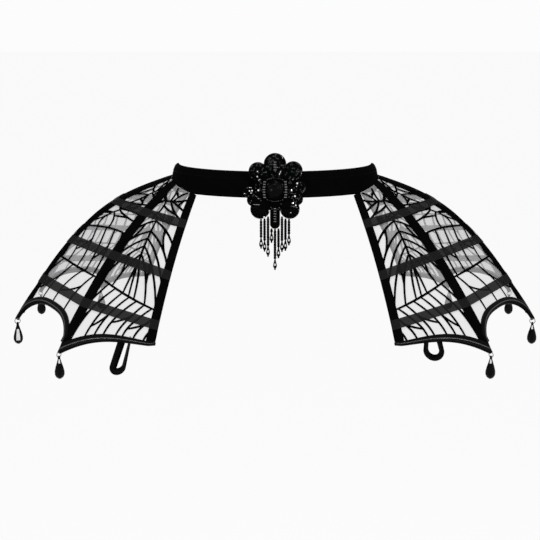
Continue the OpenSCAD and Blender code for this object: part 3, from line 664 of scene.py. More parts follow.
class PANNIER_OT_belt(bpy.types.Operator):
    """Make the velvet belt with its stitched edges, and finish its hooks and eyes."""

    bl_idname = "pannier.belt"
    bl_label = "Velvet belt"

    STATIONS = 220
    # Section of the band: share of its height, share of its thickness, with the top edge rolled inwards
    SECTION = ((0, 0.3), (0.02, 0.06), (0.06, 0), (0.3, -0.1), (0.5, -0.14), (0.68, -0.08), (0.8, 0.1),
               (0.89, 0.42), (0.955, 0.9), (0.99, 1.5), (1, 2), (0.985, 2.3), (0.95, 2.2), (0.9, 1.75),
               (0.82, 1.3), (0.7, 1.02), (0.06, 1), (0.02, 0.94), (0, 0.7))
    # Heights of the lines of stitches, as shares of the band's height
    STITCH_LINES = (0.1, 0.74)
    # Pitch for a stitch's length, share of the pitch that is filled, thickness of the thread
    STITCH_PITCH, STITCH_FILL, THREAD = 1.3, 0.75, 0.0006

    def execute(self, context):
        sizes = context.scene.pannier_belt.belt
        shape = BeltShape(sizes)
        end = 180 - math.degrees(math.atan(sizes.back_gap / (sizes.width + sizes.height * sizes.flare)))
        angles = np.linspace(end, -end, self.STATIONS)
        low, top = shape.low(angles), shape.top(angles)
        ring = [shape.at(angles, mix(low, top, up), -sizes.thickness * deep) for up, deep in self.SECTION]
        mesh, stitches = Mesh(), Mesh()
        mesh.grid(np.stack(ring, 1), solid=True)
        settle(mesh.piece("belt_velvet", finish(black_velvet)), ["waist_belt"])
        for up in self.STITCH_LINES:
            line = shape.at(angles, mix(low, top, up), 0)
            out = unit(shape.at(angles, mix(low, top, up), sizes.thickness) - line)
            self.stitch_row(stitches, line, out, sizes.stitch * self.STITCH_PITCH)
        settle(stitches.piece("belt_stitches", finish(grosgrain)), [])
        for node in ("back_hooks", "back_eyes"):
            paint_node(node, blacked_steel)
        return {"FINISHED"}

    def stitch_row(self, mesh, line, out, pitch):
        """Stitches along a line of points, each a small raised grain of thread."""
        run, along = run_along(line), np.gradient(line, axis=0)

        def at(values, d):
            return np.array([np.interp(d, run, axis) for axis in values.T])

        spots, frames = [], []
        for d in np.arange(pitch / 2, run[-1], pitch):
            n, a = unit(at(out, d)), unit(at(along, d))
            spots.append(at(line, d))
            frames.append([np.cross(a, n), n, a * pitch * self.STITCH_FILL / self.THREAD])
        mesh.scatter(round_bead(self.THREAD, flat=1.0), spots, frames)


class PANNIER_OT_ribs(bpy.types.Operator):
    """Make the velvet rib casings over the seams of both wings."""

    bl_idname = "pannier.ribs"
    bl_label = "Rib casings"

    STEPS = 44
    # Section of a casing: share of its half width, share of its thickness
    SECTION = ((-1, 0), (-1, 0.45), (-0.93, 0.75), (-0.8, 0.85), (-0.45, 0.95), (0, 1.05), (0.45, 0.95),
               (0.8, 0.85), (0.93, 0.75), (1, 0.45), (1, 0), (0, 0))

    def execute(self, context):
        settings = context.scene.pannier_belt
        shape, wing = WingShape(settings), settings.wing
        for side, sign in SIDES:
            for j, name in enumerate(RIB_NAMES):
                t = np.linspace(0, RIB_END, self.STEPS)
                half = (wing.edge_width if j in (0, LAST_RIB) else wing.rib_width) / 2
                ring = [shape.across_rib(j, t, across * half, shape.vein_low + up * wing.rib_thick)
                        for across, up in self.SECTION]
                mesh = Mesh()
                mesh.grid(np.stack(ring, 1)[:, ::-1], solid=True)
                made = mesh.piece(f"{side}_{name}_casing", finish(black_velvet), sign)
                settle(made, [f"{side}_{name}_rib"])
        return {"FINISHED"}


class PANNIER_OT_veils(bpy.types.Operator):
    """Make the sheer panels of both wings."""

    bl_idname = "pannier.veils"
    bl_label = "Sheer gores"

    ROWS = 44

    def execute(self, context):
        settings = context.scene.pannier_belt
        shape = WingShape(settings)
        s = eased(settings.smoothness + 1)
        for side, sign in SIDES:
            for g, name in enumerate(GORE_NAMES):
                end = shape.panel_end(g, s)
                rows = np.array([shape.at(g, s, end * k, 0) for k in np.linspace(0, 1, self.ROWS)])
                mesh = Mesh()
                mesh.grid(rows[:, ::-1])
                made = mesh.piece(f"{side}_{name}_veil", finish(veil), sign)
                settle(made, [f"{side}_{name}_gore"])
        return {"FINISHED"}


class PANNIER_OT_bands(bpy.types.Operator):
    """Make the three hoop bands over the ribs of both wings."""

    bl_idname = "pannier.bands"
    bl_label = "Hoop bands"

    # Steps along a band for each gore, and rows of points up it
    STEPS, ROWS = 12, 5

    def execute(self, context):
        settings = context.scene.pannier_belt
        shape, wing = WingShape(settings), settings.wing
        for side, sign in SIDES:
            for b, name in enumerate(BAND_NAMES):
                rows = []
                for g in range(len(GORE_NAMES)):
                    over = wing.edge_width / 2 / float(shape.width(g, HOOPS[b]))
                    s = np.linspace(-over if g == 0 else 0, 1 + over if g == LAST_GORE else 1, self.STEPS)
                    s = s if g == 0 else s[1:]
                    step = WingShape.STEP
                    run = shape.mid(g, s, HOOPS[b] + step + 0 * s) - shape.mid(g, s, HOOPS[b] - step + 0 * s)
                    half = wing.band_width / 2 / (np.linalg.norm(run, axis=-1) / step / 2)
                    lift = shape.over_low + wing.band_thick / 2
                    rows += list(np.stack([shape.at(g, s, HOOPS[b] + k * half, lift)
                                           for k in np.linspace(-1, 1, self.ROWS)], 1))
                rows = np.array(rows)
                mesh = Mesh()
                mesh.grid(rows)
                made = mesh.piece(f"{side}_{name}_hoop_tape", finish(hoop_tape), sign)
                settle(made, [f"{side}_{name}_band"])
        return {"FINISHED"}


class PANNIER_OT_hem(bpy.types.Operator):
    """Make the padded satin binding along the scalloped hem of both wings, with a strip of painted highlight
    along its fold.
    """

    bl_idname = "pannier.hem"
    bl_label = "Hem binding"

    STEPS = 64
    # Sections of the outer leg, the inner leg and the fold, a strip of painted highlight: share of the way
    # from the inner edge to the hem, then lift as a share of a leg's thickness
    OUTER = ((0, 0.1), (0.03, 0.7), (0.12, 1.15), (0.3, 1.5), (0.52, 1.6), (0.72, 1.4), (0.88, 0.9),
             (0.97, 0.1))
    INNER = ((0.97, 0.1), (0.85, 0.7), (0.6, 1), (0.3, 1), (0.08, 0.8), (0, 0.1))
    FOLD = ((0.52, 1.4), (0.555, 1.72), (0.65, 1.64), (0.68, 1.3))
    # Least width at the mitres, the hem's lip in layer gaps, and how far the turned edge reaches as a share
    MITRE_WIDTH, LIP_GAPS, TURNED_EDGE = 0.003, 3, 1.02

    def execute(self, context):
        settings = context.scene.pannier_belt
        shape, wing = WingShape(settings), settings.wing
        for side, sign in SIDES:
            tape, fold = Mesh(), Mesh()
            for g in range(len(GORE_NAMES)):
                whole, ridge = self.length_of(shape, wing, g)
                tape.grid(whole[:, ::-1], solid=True)
                fold.grid(ridge[:, ::-1], solid=True)
            made = tape.piece(f"{side}_satin_binding", finish(satin_tape), sign)
            settle(made, [f"{side}_hem_binding"])
            # The fold's strip is coloured paler than the tape: a painted highlight
            settle(fold.piece(f"{side}_binding_fold", finish(satin_fold), sign), [])
        return {"FINISHED"}

    def length_of(self, shape, wing, g):
        """One scallop's binding and its fold as rows of sections, mitred at the tips."""
        width, fall = float(shape.width(g, 1.0)), shape.fall(g)
        low = -wing.edge_width / 2 / width if g == 0 else 0
        high = 1 + wing.edge_width / 2 / width if g == LAST_GORE else 1
        s = mix(low, high, eased(self.STEPS))
        t = shape.hem(g, np.clip(s, 0, 1))
        slope = np.gradient(t, s) * fall
        inward = unit(np.stack([slope, np.full_like(s, -width)], -1)) * wing.bind_width
        in_s = np.clip(s + inward[:, 0] / width, low, high)
        in_t = np.minimum(t + inward[:, 1] / fall, t - self.MITRE_WIDTH / fall)
        lip = t + self.LIP_GAPS * wing.layer_gap / fall

        def path(q, lift):
            return shape.at(g, mix(in_s, s, q), mix(in_t, lip, q), lift)

        ring = [path(q, shape.over_low + up * wing.bind_thick) for q, up in self.OUTER]
        middle = (shape.over_low - shape.bind_low) / 2
        ring.append(shape.at(g, s, mix(in_t, lip, self.TURNED_EDGE), middle))
        ring += [path(q, -shape.bind_low - up * wing.bind_thick) for q, up in self.INNER]
        ridge = [path(q, shape.over_low + up * wing.bind_thick) for q, up in self.FOLD]
        return np.stack(ring, 1), np.stack(ridge, 1)


# Leaf veins, by places across and down a gore
# A midrib crosses a gore: its height at the front rib, at the back rib, and its bow
# Between two midribs lies a set of veins: its kind, their number, two values of that kind, their bow, and
# every how many of them a fork follows
# A row's veins lie side by side: where the first and last one start above, then where they end below
# A leaf has an upright midrib of its own: where that starts and ends, then the edges that its veins run to
# A spray's veins leave a short stem: shares across and down for its middle, then its turn
FRONT_MIDRIBS = ((0.27, 0.215, 0.02), (0.745, 0.68, 0.01))
FRONT_ROWS = (("spray", 10, (0.62, 0.46), 0.4, 0.07, 2), ("leaf", 6, (0.62, 0.47), (0.0, 1.0), 0.07, 3),
              ("row", 9, (-0.16, 0.82), (0.1, 1.04), 0.06, 2))
SIDE_MIDRIBS = ((0.19, 0.23, 0.01), (0.415, 0.455, -0.02), (0.69, 0.665, 0.005))
SIDE_ROWS = (("spray", 8, (0.4, 0.5), 0.2, 0.06, 2), ("spray", 12, (0.66, 0.34), 0.1, 0.1, 2),
             ("row", 6, (0.14, 1.12), (-0.06, 0.92), -0.06, 2),
             ("row", 5, (-0.12, 0.84), (0.06, 1.02), 0.05, 2))
# Places along each kind of vein
MIDRIB_STEPS, LEAF_STEPS, VEIN_STEPS, RAY_STEPS, SHORT_STEPS = 26, 21, 18, 16, 9
# Leaf: its midrib's share of the bow, where the veins leave it, which of them end on a rib, how high the
# first one ends, and where they bend across and down
LEAF_BOW, LEAF_STARTS, LEAF_ON_RIB, LEAF_FIRST_END, LEAF_BEND = 0.4, (0.02, 0.66), 0.55, 0.36, (0.74, 0.3)
# Row: how far a vein strays, how fast that changes from vein to vein, and its shift from row to row
ROW_STRAY, ROW_RATE, ROW_SHIFT = 0.018, 2.4, 5
# Spray: half of its stem, how far a vein strays, how fast that changes, and its turn from gore to gore
SPRAY_STEM, SPRAY_STRAY, SPRAY_RATE, SPRAY_TURN = 0.17, 0.28, 2.7, 0.9
# Forks: where they start, how much further down they end, and where they bend across and down
FORK_STARTS, FORK_REACH, FORK_BEND = (0.3, 0.38, 0.46), 0.36, (0.35, 0.65)
# Where the veins start under the belt, how near they come to a rib, and the fewest places kept of one
TOP_EDGE, RIB_MARGIN, FEWEST_PLACES = 0.012, 0.01, 5


def curved(first, bend, last, steps):
    """Places along a line that starts at first, leans to bend and ends at last."""
    q = column(np.linspace(0, 1, steps))
    return first * (1 - q) ** 2 + bend * 2 * q * (1 - q) + last * q * q


def leaf_row(count, ends, edges, above, below, bow):
    """A leaf: an upright midrib, and veins that leave it one by one for the ribs or the midrib below."""
    top, foot = ends
    crown, tip = np.array((top, above(top))), np.array((foot, below(foot)))
    midrib = curved(crown, mix(crown, tip, 0.5) + np.array((bow * LEAF_BOW, 0)), tip, LEAF_STEPS)
    lines = [midrib]
    for edge in edges:
        for k in range(count):
            share = (k + 0.5) / count
            start = midrib[round(mix(*LEAF_STARTS, share) * (LEAF_STEPS - 1))]
            if share < LEAF_ON_RIB:
                end = np.array((edge, mix(LEAF_FIRST_END, below(edge), share / LEAF_ON_RIB)))
            else:
                end_s = mix(edge, foot, (share - LEAF_ON_RIB) / (1 - LEAF_ON_RIB))
                end = np.array((end_s, below(end_s)))
            lines.append(curved(start, mix(start, end, np.array(LEAF_BEND)), end, VEIN_STEPS))
    return lines


def slanted_row(count, top, foot, above, below, bow, shift):
    """Veins from one midrib to the next, side by side and all leaning one way."""
    lines = []
    for k in range(count):
        stray = ROW_STRAY * math.sin(ROW_RATE * k + shift)
        a, b = mix(*top, k / (count - 1)), mix(*foot, k / (count - 1)) + stray
        first, last = np.array((a, above(a))), np.array((b, below(b)))
        lines.append(curved(first, mix(first, last, 0.5) + np.array((2 * bow + stray, 0)), last, VEIN_STEPS))
    return lines


def spray_row(count, place, turn, above, below, bow):
    """Veins that leave a short stem for the ribs beside it and the midribs above and below it."""
    stem = SPRAY_STEM * np.array((math.cos(turn), math.sin(turn)))
    rays = [curved(place - stem, np.array(place), place + stem, SHORT_STEPS)]
    for k in range(count):
        angle = turn + 2 * math.pi * (k + SPRAY_STRAY * math.sin(SPRAY_RATE * k)) / count
        ahead = np.array((math.cos(angle), math.sin(angle)))
        start = place + stem * math.cos(angle - turn)
        room = min((max(0, np.sign(d)) - m) / d for m, d in zip(start, ahead))
        bend = start + ahead * room / 2 + np.array((-ahead[1], ahead[0])) * bow * (-1) ** k
        rays.append(curved(start, bend, start + ahead * room, RAY_STEPS))
    return [np.array([(a, mix(above(a), below(a), b)) for a, b in ray]) for ray in rays]


def fork(a, b, start):
    """A short vein that leaves one long vein and meets the next further down."""
    first = a[int(start * (len(a) - 1))]
    last = b[int(min(1, start + FORK_REACH) * (len(b) - 1))]
    return curved(first, mix(first, last, np.array(FORK_BEND)), last, SHORT_STEPS)


def vein_lines(shape, g):
    """The veins of one gore as lines of (s, t) places."""
    midribs, rows = (FRONT_MIDRIBS, FRONT_ROWS) if g in (0, LAST_GORE) else (SIDE_MIDRIBS, SIDE_ROWS)
    hem_inset = shape.sizes.bind_width / 2 / shape.fall(g)
    edges = [lambda s: TOP_EDGE]
    for first, last, bow in midribs:
        edges.append(lambda s, a=first, b=last, c=bow: mix(a, b, s) + 4 * c * s * (1 - s))
    edges.append(lambda s: float(shape.hem(g, np.clip(s, 0, 1))) - hem_inset)
    across = np.linspace(0, 1, MIDRIB_STEPS)
    lines = [np.stack([across, edge(across)], -1) for edge in edges[1:-1]]
    for i, (kind, count, top, foot, bow, forks) in enumerate(rows):
        between = edges[i], edges[i + 1], bow
        if kind == "leaf":
            made = leaf_row(count, top, foot, *between)
        elif kind == "spray":
            made = spray_row(count, top, foot + SPRAY_TURN * g, *between)
        else:
            made = slanted_row(count, top, foot, *between, ROW_SHIFT * i + g)
        lines += made
        for k in range(1, len(made) - 1, forks):
            lines.append(fork(made[k], made[k + 1], FORK_STARTS[k % len(FORK_STARTS)]))
    lines = [line[(line[:, 0] > RIB_MARGIN) & (line[:, 0] < 1 - RIB_MARGIN)] for line in lines]
    lines = [line for line in lines if len(line) >= FEWEST_PLACES]
    return [np.stack([1 - line[:, 0], line[:, 1]], -1) if g > LAST_GORE / 2 else line for line in lines]


class PANNIER_OT_lace(bpy.types.Operator):
    """Make the raised, flocked leaf veins on the gores of both wings."""

    bl_idname = "pannier.lace"
    bl_label = "Vein lace"

    # Section of a vein: share of its half width, share of its height
    SECTION = ((-1, 0), (-0.85, 0.6), (-0.4, 1), (0.4, 1), (0.85, 0.6), (1, 0))
    # Width at a vein's ends as a share of its middle, and how fast it grows
    ENDS, GROWTH = 0.72, 0.6

    def execute(self, context):
        settings = context.scene.pannier_belt
        shape = WingShape(settings)
        for side, sign in SIDES:
            mesh = Mesh()
            for g in range(len(GORE_NAMES)):
                for line in vein_lines(shape, g):
                    mesh.grid(self.vein(shape, g, line), solid=True)
            made = mesh.piece(f"{side}_leaf_veins", finish(flock), sign)
            settle(made, [f"{side}_vein_lace"])
        return {"FINISHED"}

    def vein(self, shape, g, line):
        """One vein as rows of sections, slimmer towards its ends."""
        wing = shape.sizes
        places = shape.mid(g, line[:, 0], line[:, 1])
        out = shape.out(g, line[:, 0], line[:, 1])
        side = unit(np.cross(out, np.gradient(places, axis=0)))
        q = np.linspace(0, 1, len(line))
        half = column(wing.vein_width / 2 * mix(self.ENDS, 1, np.sin(np.pi * q) ** self.GROWTH))
        return np.stack([places + side * half * across + out * (shape.vein_low + up * wing.vein_height)
                         for across, up in self.SECTION], 1)


class PANNIER_OT_loops(bpy.types.Operator):
    """Make the ribbon loops that hang inside the front hems."""

    bl_idname = "pannier.loops"
    bl_label = "Ribbon loops"

    # Steps round the foot and down a strand
    STEPS, STRAND_STEPS = 40, 13
    WIDTH, THICK = 0.009, 0.0008
    # Section of the ribbon, as shares of its width and thickness
    SECTION = ((-0.5, -0.3), (-0.5, 0.3), (0, 0.5), (0.5, 0.3), (0.5, -0.3), (0, -0.5))
    # Room under the foot as a share of the ribbon's width, and the strands' distance at the top as a share
    FOOT_ROOM, TOP_SHARE = 0.35, 0.72
    # Width between the strands, turn about the vertical, lean of the foot, twist of the ribbon at both ends
    SHAPES = {"left": (0.0125, 8, -0.3, 4, 80), "right": (0.0185, -12, 0.12, 62, 40)}

    def execute(self, context):
        for side, shape in self.SHAPES.items():
            node = f"{side}_ribbon_loop"
            mesh = Mesh()
            mesh.grid(self.rows(*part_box(node), *shape), solid=True)
            made = mesh.piece(f"{side}_hanging_ribbon", finish(grosgrain))
            settle(made, [node])
        return {"FINISHED"}

    def rows(self, low, high, wide, turn, lean, twist, last_twist):
        """Sections of the ribbon down one strand, round the foot and up the other."""
        straight = high.z - low.z - self.WIDTH * self.FOOT_ROOM - wide / 2
        arc = np.linspace(math.pi, 2 * math.pi, self.STEPS)
        down = np.linspace(0, 1, self.STRAND_STEPS, endpoint=False)
        strand = np.full(self.STRAND_STEPS, wide / 2)
        x = np.concatenate([-strand, wide / 2 * np.cos(arc), strand])
        z = np.concatenate([-straight * down, -straight + wide / 2 * np.sin(arc), -straight * down[::-1]])
        x = x * mix(self.TOP_SHARE, 1, np.clip(-z / straight, 0, 1)) - lean * z
        path = np.stack([x, 0 * x, z], -1)
        run = unit(np.gradient(path, axis=0))
        face = np.array((0.0, 1.0, 0.0))
        angle = column(np.radians(np.linspace(twist, last_twist, len(x))))
        across = np.cross(run, face) * np.cos(angle) + face * np.sin(angle)
        thick = np.cross(run, across)
        spin = about_z(math.radians(turn))
        middle = np.array(((low.x + high.x) / 2, (low.y + high.y) / 2, high.z))
        return np.stack([middle + (path + across * w * self.WIDTH + thick * d * self.THICK) @ spin
                         for w, d in self.SECTION], 1)


def faceted_drop(outline, sides, window, place, spun=0.0):
    """A turned drop as two meshes: black facets, and pale ones in front and behind that are a painted
    highlight, spun a little.
    """
    points, faces = revolve(outline, sides)
    points = points @ about_z(math.pi / 2 - math.pi / sides + spun) + np.asarray(place)
    dark, pale = Mesh(), Mesh()
    for i, face in enumerate(faces):
        band, column_at = divmod(i, sides)
        # Facets in front and behind on the listed bands go pale: painted highlight
        foiled = band in window and column_at in (0, sides // 2)
        (pale if foiled else dark).add(points[face], [list(range(len(face)))[::-1]])
    return dark, pale


def settle_drop(dark, pale, names, black, node, slot):
    """Rides the dark mesh on a node's body in its place, and the pale facets of painted highlight beside it.
    """
    body = body_of_node(node)
    settle(dark.piece(names[0], finish(black), smooth=False), [node], body)
    settle(pale.piece(names[1], finish(smoke_glass), smooth=False), [], body)


class PANNIER_OT_drops(bpy.types.Operator):
    """Make the faceted hem drops and finish their jump rings."""

    bl_idname = "pannier.drops"
    bl_label = "Hem drops"

    SIDES_ROUND = 8
    # Outline of a drop from its top: share of its half width, share of its length
    OUTLINE = ((0.18, 0), (0.24, 0.05), (0.27, 0.14), (0.5, 0.3), (0.78, 0.48), (0.98, 0.66), (0.96, 0.79),
               (0.7, 0.91), (0.3, 0.985), (0.06, 1))
    # How far the drops hang turned towards the middle
    SPIN = math.radians(12)
    # Bands of the outline whose facets in front and behind are pale, a painted highlight: a small one, or a
    # long one on one drop
    SMALL_WINDOW, LONG_WINDOWS = (2,), {"left_side_front": (3, 4, 5)}

    def execute(self, context):
        beads = context.scene.pannier_belt.beads
        for side, sign in SIDES:
            for name in DROP_NAMES:
                node = f"{side}_{name}_drop"
                low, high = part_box(node)
                outline = [(r * beads.drop_width / 2, -z * (high.z - low.z)) for r, z in self.OUTLINE]
                place = ((low.x + high.x) / 2, (low.y + high.y) / 2, high.z)
                window = self.LONG_WINDOWS.get(f"{side}_{name}", self.SMALL_WINDOW)
                meshes = faceted_drop(outline, self.SIDES_ROUND, window, place, -sign * self.SPIN)
                names = f"{side}_{name}_teardrop", f"{side}_{name}_facet"
                settle_drop(*meshes, names, drop_jet, node, "jet_drop")
            paint_node(f"{side}_jump_rings", silver)
        return {"FINISHED"}


class PANNIER_OT_fringe(bpy.types.Operator):
    """Make the nine beaded strands of the fringe."""

    bl_idname = "pannier.fringe"
    bl_label = "Bead fringe"

    STRANDS = 9
    # The strands' feet hang this far behind and in front of the row by turns, so that the drops pass
    STAGGER = 0.0019
    # The top bead, the bead under the drop, the beads' pitch and the thread's radius, by a seed bead's size
    TOP, TIP, PITCH, THREAD = 0.72, 0.6, 0.95, 0.16
    # Share of the bead under the drop that hangs out of it
    TIP_SHOWN = 0.8
    # The drop's and the thread's sides, and the band of the outline whose front and back facets are pale, a
    # painted highlight
    SIDES_ROUND, THREAD_SIDES, WINDOW = 8, 6, (2,)
    # Outline of a strand's own drop: share of its half width, share of its length
    OUTLINE = ((0.3, 0), (0.5, 0.2), (0.8, 0.45), (1, 0.66), (0.92, 0.82), (0.5, 0.96), (0.2, 1))

    def execute(self, context):
        beads = context.scene.pannier_belt.beads
        upright = np.eye(3)
        for i in range(1, self.STRANDS + 1):
            node = f"fringe_strand_{i}"
            low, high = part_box(node)
            x, y = (low.x + high.x) / 2, (low.y + high.y) / 2
            top, tip = beads.seed * self.TOP, beads.seed * self.TIP
            foot = low.z + tip * self.TIP_SHOWN
            head = foot + beads.fringe_drop
            lean = self.STAGGER * (-1) ** i / (high.z - head)

            def at(z):
                return x, y + lean * (high.z - max(z, head)), z

            count = max(1, round((high.z - top - head) / (beads.seed * self.PITCH)))
            heights = [mix(high.z - top, head, (k + 0.5) / count) for k in range(count)]
            outline = [(r * beads.fringe_drop_width / 2, -z * beads.fringe_drop) for r, z in self.OUTLINE]
            mesh, pale = faceted_drop(outline, self.SIDES_ROUND, self.WINDOW, at(head))
            mesh.scatter(barrel_bead(top), [at(high.z - top / 2)], [upright])
            mesh.scatter(barrel_bead(beads.seed), [at(z) for z in heights], [upright] * len(heights))
            mesh.scatter(barrel_bead(tip), [at(low.z + tip / 2)], [upright])
            radius = beads.seed * self.THREAD
            thread = revolve([(radius, head - high.z), (radius, 0)], self.THREAD_SIDES)
            mesh.scatter(thread, [at(high.z)], [((1, 0, 0), (0, 1, 0), (0, -lean, 1))])
            settle_drop(mesh, pale, (f"strand_{i}_beads", f"strand_{i}_facet"), jet, node, "fringe_beads")
        return {"FINISHED"}


class PANNIER_OT_rosette(bpy.types.Operator):
    """Make the beaded petals, bead frame, stone and crystals of the rosette."""

    bl_idname = "pannier.rosette"
    bl_label = "Beaded rosette"

    WIDTH = 0.076
    # Petals: shares of the rosette's width across, up and in radius, and what covers them
    LOBES = ((0, 0.4, 0.178, "rows"), (0.285, 0.3, 0.149, "rows"), (-0.27, 0.29, 0.145, "rows"),
             (0.385, 0.035, 0.1, "rows"), (-0.41, -0.04, 0.095, "rows"), (0.235, -0.308, 0.155, "fan"),
             (-0.235, -0.308, 0.155, "fan"), (0.345, -0.15, 0.098, "rows"), (-0.345, -0.165, 0.098, "rows"))
    # Pads under the petals: share of a petal's radius and height, distance off the felt, rings and sides
    PAD_REACH, PAD_HEIGHT, PAD_LIFT = 0.96, 0.55, 0.0002
    PAD_RINGS, PAD_SIDES = (1, 0.97, 0.88, 0.72, 0.5, 0.25, 0.05), 28
    # Rows on a petal, by a row bead's size: the first one's inset, step to the next row and bead, rise
    FIRST_ROW, ROW_STEP, BEAD_STEP, BEAD_RISE = 0.55, 1.02, 1.08, 0.3
    # Loose beads between the petals: rows to each side, step, rows' distance as a share of it, rise, and how
    # far they reach as a share of the rosette's width
    LOOSE_ROWS, LOOSE_STEP, LOOSE_APART, LOOSE_RISE, LOOSE_REACH = 16, 1.15, 0.87, 0.4, 0.33
    # Half the width of the strip that the lower ladder keeps free
    STRIP_HALF = 0.0035
    # Share of the beads that carry a silver-lined one as a painted glint, and its share of their size
    LINED_PART, LINED_SHARE = 0.3, 0.66
    # A fan's bugles: number, half the spread, and by the petal's radius their inner end, longest reach and
    # its loss at the sides; then shares of the reach, a bugle's thickness and the petal's height, and sway
    FAN_COUNT, FAN_SPREAD, FAN_BASE, FAN_REACH, FAN_LOSS = 8, 0.95, 0.55, 1.5, 0.35
    FAN_LONG, FAN_THICK, FAN_RISE, FAN_SWAY, FAN_SWAY_RATE = 0.62, 0.8, 0.6, 0.12, 5
    # The frame's bugles: roll about their length, step and rise by their thickness, number and bow of a side
    BUGLE_ROLL, BUGLE_STEP, BUGLE_RISE, SIDE_BUGLES, SIDE_BOW = math.radians(35), 1.2, 0.7, 7, 0.0001
    # The ladders' bugles in steps below the frame and up from the top petal's middle; rise of the upper ones
    LOWER_LADDER, UPPER_LADDER, UPPER_RISE = (2.2, 3.2, 4.2, 5.2, 6.2, 7.2), (-2, -1, 0, 1), 0.6
    # The frame's bowed rows: number, step, size and rise by a round bead's size; distance, bow and tilt
    ROUND_COUNT, ROUND_STEP, ROUND_SIZE, ROUND_RISE = 8, 0.88, 0.85, 0.6
    ROUND_OUT, ROUND_BOW, ROUND_TILT = 0.0008, 22, 0.02
    # The ring round the stone: number of beads, rise by a row bead's size, tilt
    RING_COUNT, RING_RISE, RING_TILT = 40, 0.6, 0.06
    # The stone: rings, sides, height of its wall and dome as shares, distance off the felt
    STONE_RINGS, STONE_SIDES, STONE_WALL, STONE_DOME, STONE_LIFT = 22, 72, 0.35, 0.6, 0.0003
    # Its ridge: arms, turn from edge to top, height, how fast that grows from the edge
    RIDGE_ARMS, RIDGE_TURN, RIDGE_HEIGHT, RIDGE_GROWTH = 2, 9, 0.0005, 0.7
    # Crystals: shares of the rosette's width across and up, and of a crystal's size
    CRYSTALS = ((-0.4, -0.01, 0.8), (-0.375, -0.045, 0.7), (-0.36, -0.005, 0.9), (-0.26, 0.0, 1.1),
                (0.348, 0.109, 1), (0.262, 0.0, 0.8), (0.312, -0.094, 1.1), (0.277, -0.203, 1),
                (0.326, -0.239, 0.9), (-0.085, -0.326, 1), (-0.17, -0.425, 1.1), (-0.277, 0.215, 0.7),
                (0.248, -0.355, 0.6))
    # How far beads and crystals lean, and how fast that changes from bead to bead across and up
    TILT, TILT_RATES = 0.22, (7.1, 3.7)
    # Axes of a form that faces the front
    FACING = np.array(((1, 0, 0), (0, 0, 1), (0, -1, 0)))

    def execute(self, context):
        beads = context.scene.pannier_belt.beads
        paint_node("rosette_backing", rosette_felt)
        rows, lined = self.petals(beads)
        pieces = (("petal_pads", self.pads(beads), rosette_felt, True, ["rosette_petals"], "petal_beads"),
                  ("petal_beads", rows, jet, False, [], "petal_beads"),
                  ("lined_beads", lined, lined_glass, False, [], "petal_beads"),
                  ("bead_frame", self.frame(beads), jet, False, ["rosette_frame"], "bugle_beads"),
                  ("cabochon", self.stone(), dull_jet, True, ["rosette_stone"], "stone"),
                  ("crystals", self.crystals(beads), foil_crystal, False, [], "stone"))
        for name, mesh, make, smooth, nodes, slot in pieces:
            settle(mesh.piece(f"rosette_{name}", finish(make), smooth=smooth), nodes)
        return {"FINISHED"}

    def face(self, x, z, out):
        """A place on the rosette's face, lifted out towards the front."""
        return np.array((x, FACE_Y - out, FACE_Z + z))

    def tilted(self, i, spread=TILT):
        """Axes of a bead on the face, each leaning a little its own way."""
        across_rate, up_rate = self.TILT_RATES
        out = unit(np.array((spread * math.sin(across_rate * i), -1.0, spread * math.sin(up_rate * i + 1))))
        across = unit(np.cross(out, (0.0, 0.0, 1.0)))
        return np.stack([across, np.cross(out, across), out])

    def beaded(self, mesh, bead, spots, spread=TILT):
        """Adds a bead at each spot on the face."""
        mesh.scatter(bead, [self.face(*p) for p in spots],
                     [self.tilted(i, spread) for i in range(len(spots))])

    def swell(self, beads, share):
        """Height of a petal's pad at a share of its radius."""
        return beads.petal_height * self.PAD_HEIGHT * math.sqrt(max(0, 1 - share * share))

    def pads(self, beads):
        """Low padded domes under the petals' beads."""
        mesh = Mesh()
        for x, z, r, _ in self.LOBES:
            radius = r * self.WIDTH * self.PAD_REACH
            dome = [(radius * k, self.swell(beads, k)) for k in self.PAD_RINGS]
            place = self.face(x * self.WIDTH, z * self.WIDTH, self.PAD_LIFT)
            mesh.scatter(revolve(dome, self.PAD_SIDES), [place], [self.FACING])
        return mesh

    def petals(self, beads):
        """Rows of small beads round each petal, fans of bugles and loose beads; some carry a silver-lined one
        in front as a painted glint.
        """
        mesh, lined = Mesh(), Mesh()
        clear = beads.frame_width / 2 + beads.rim
        spots = []
        for i, (x, z, r, cover) in enumerate(self.LOBES):
            radius, middle = r * self.WIDTH, np.array((x, z)) * self.WIDTH
            rows = 1 if cover == "fan" else int(radius / beads.rim)
            for row in range(rows):
                at = radius - beads.rim * (self.FIRST_ROW + self.ROW_STEP * row)
                rise = self.swell(beads, at / radius) + beads.rim * self.BEAD_RISE
                for a in np.arange(0, 2 * math.pi, beads.rim * self.BEAD_STEP / max(at, beads.rim)):
                    p = middle + at * np.array((math.cos(a), math.sin(a)))
                    if not self.covered(p, i, clear):
                        spots.append((*p, rise))
            if cover == "fan":
                self.fan(mesh, beads, middle, radius)
        reach = range(-self.LOOSE_ROWS, self.LOOSE_ROWS + 1)
        for row in reach:
            for k in reach:
                p = beads.rim * self.LOOSE_STEP * np.array((k + 0.5 * (row % 2), row * self.LOOSE_APART))
                near = np.linalg.norm(p) < self.WIDTH * self.LOOSE_REACH
                if near and not self.covered(p, len(self.LOBES), clear):
                    spots.append((*p, beads.rim * self.LOOSE_RISE))
        self.beaded(mesh, round_bead(beads.rim), spots)
        # Silver-lined beads in front of some jets stand for their glints: painted highlight, partly real
        # beads
        chosen = [i for i in range(len(spots)) if scattered(i) < self.LINED_PART]
        ahead = np.array((0, 0, beads.rim / 2))
        lined.scatter(round_bead(beads.rim * self.LINED_SHARE),
                      [self.face(*(spots[i] + ahead)) for i in chosen], [self.tilted(i) for i in chosen])
        return mesh, lined

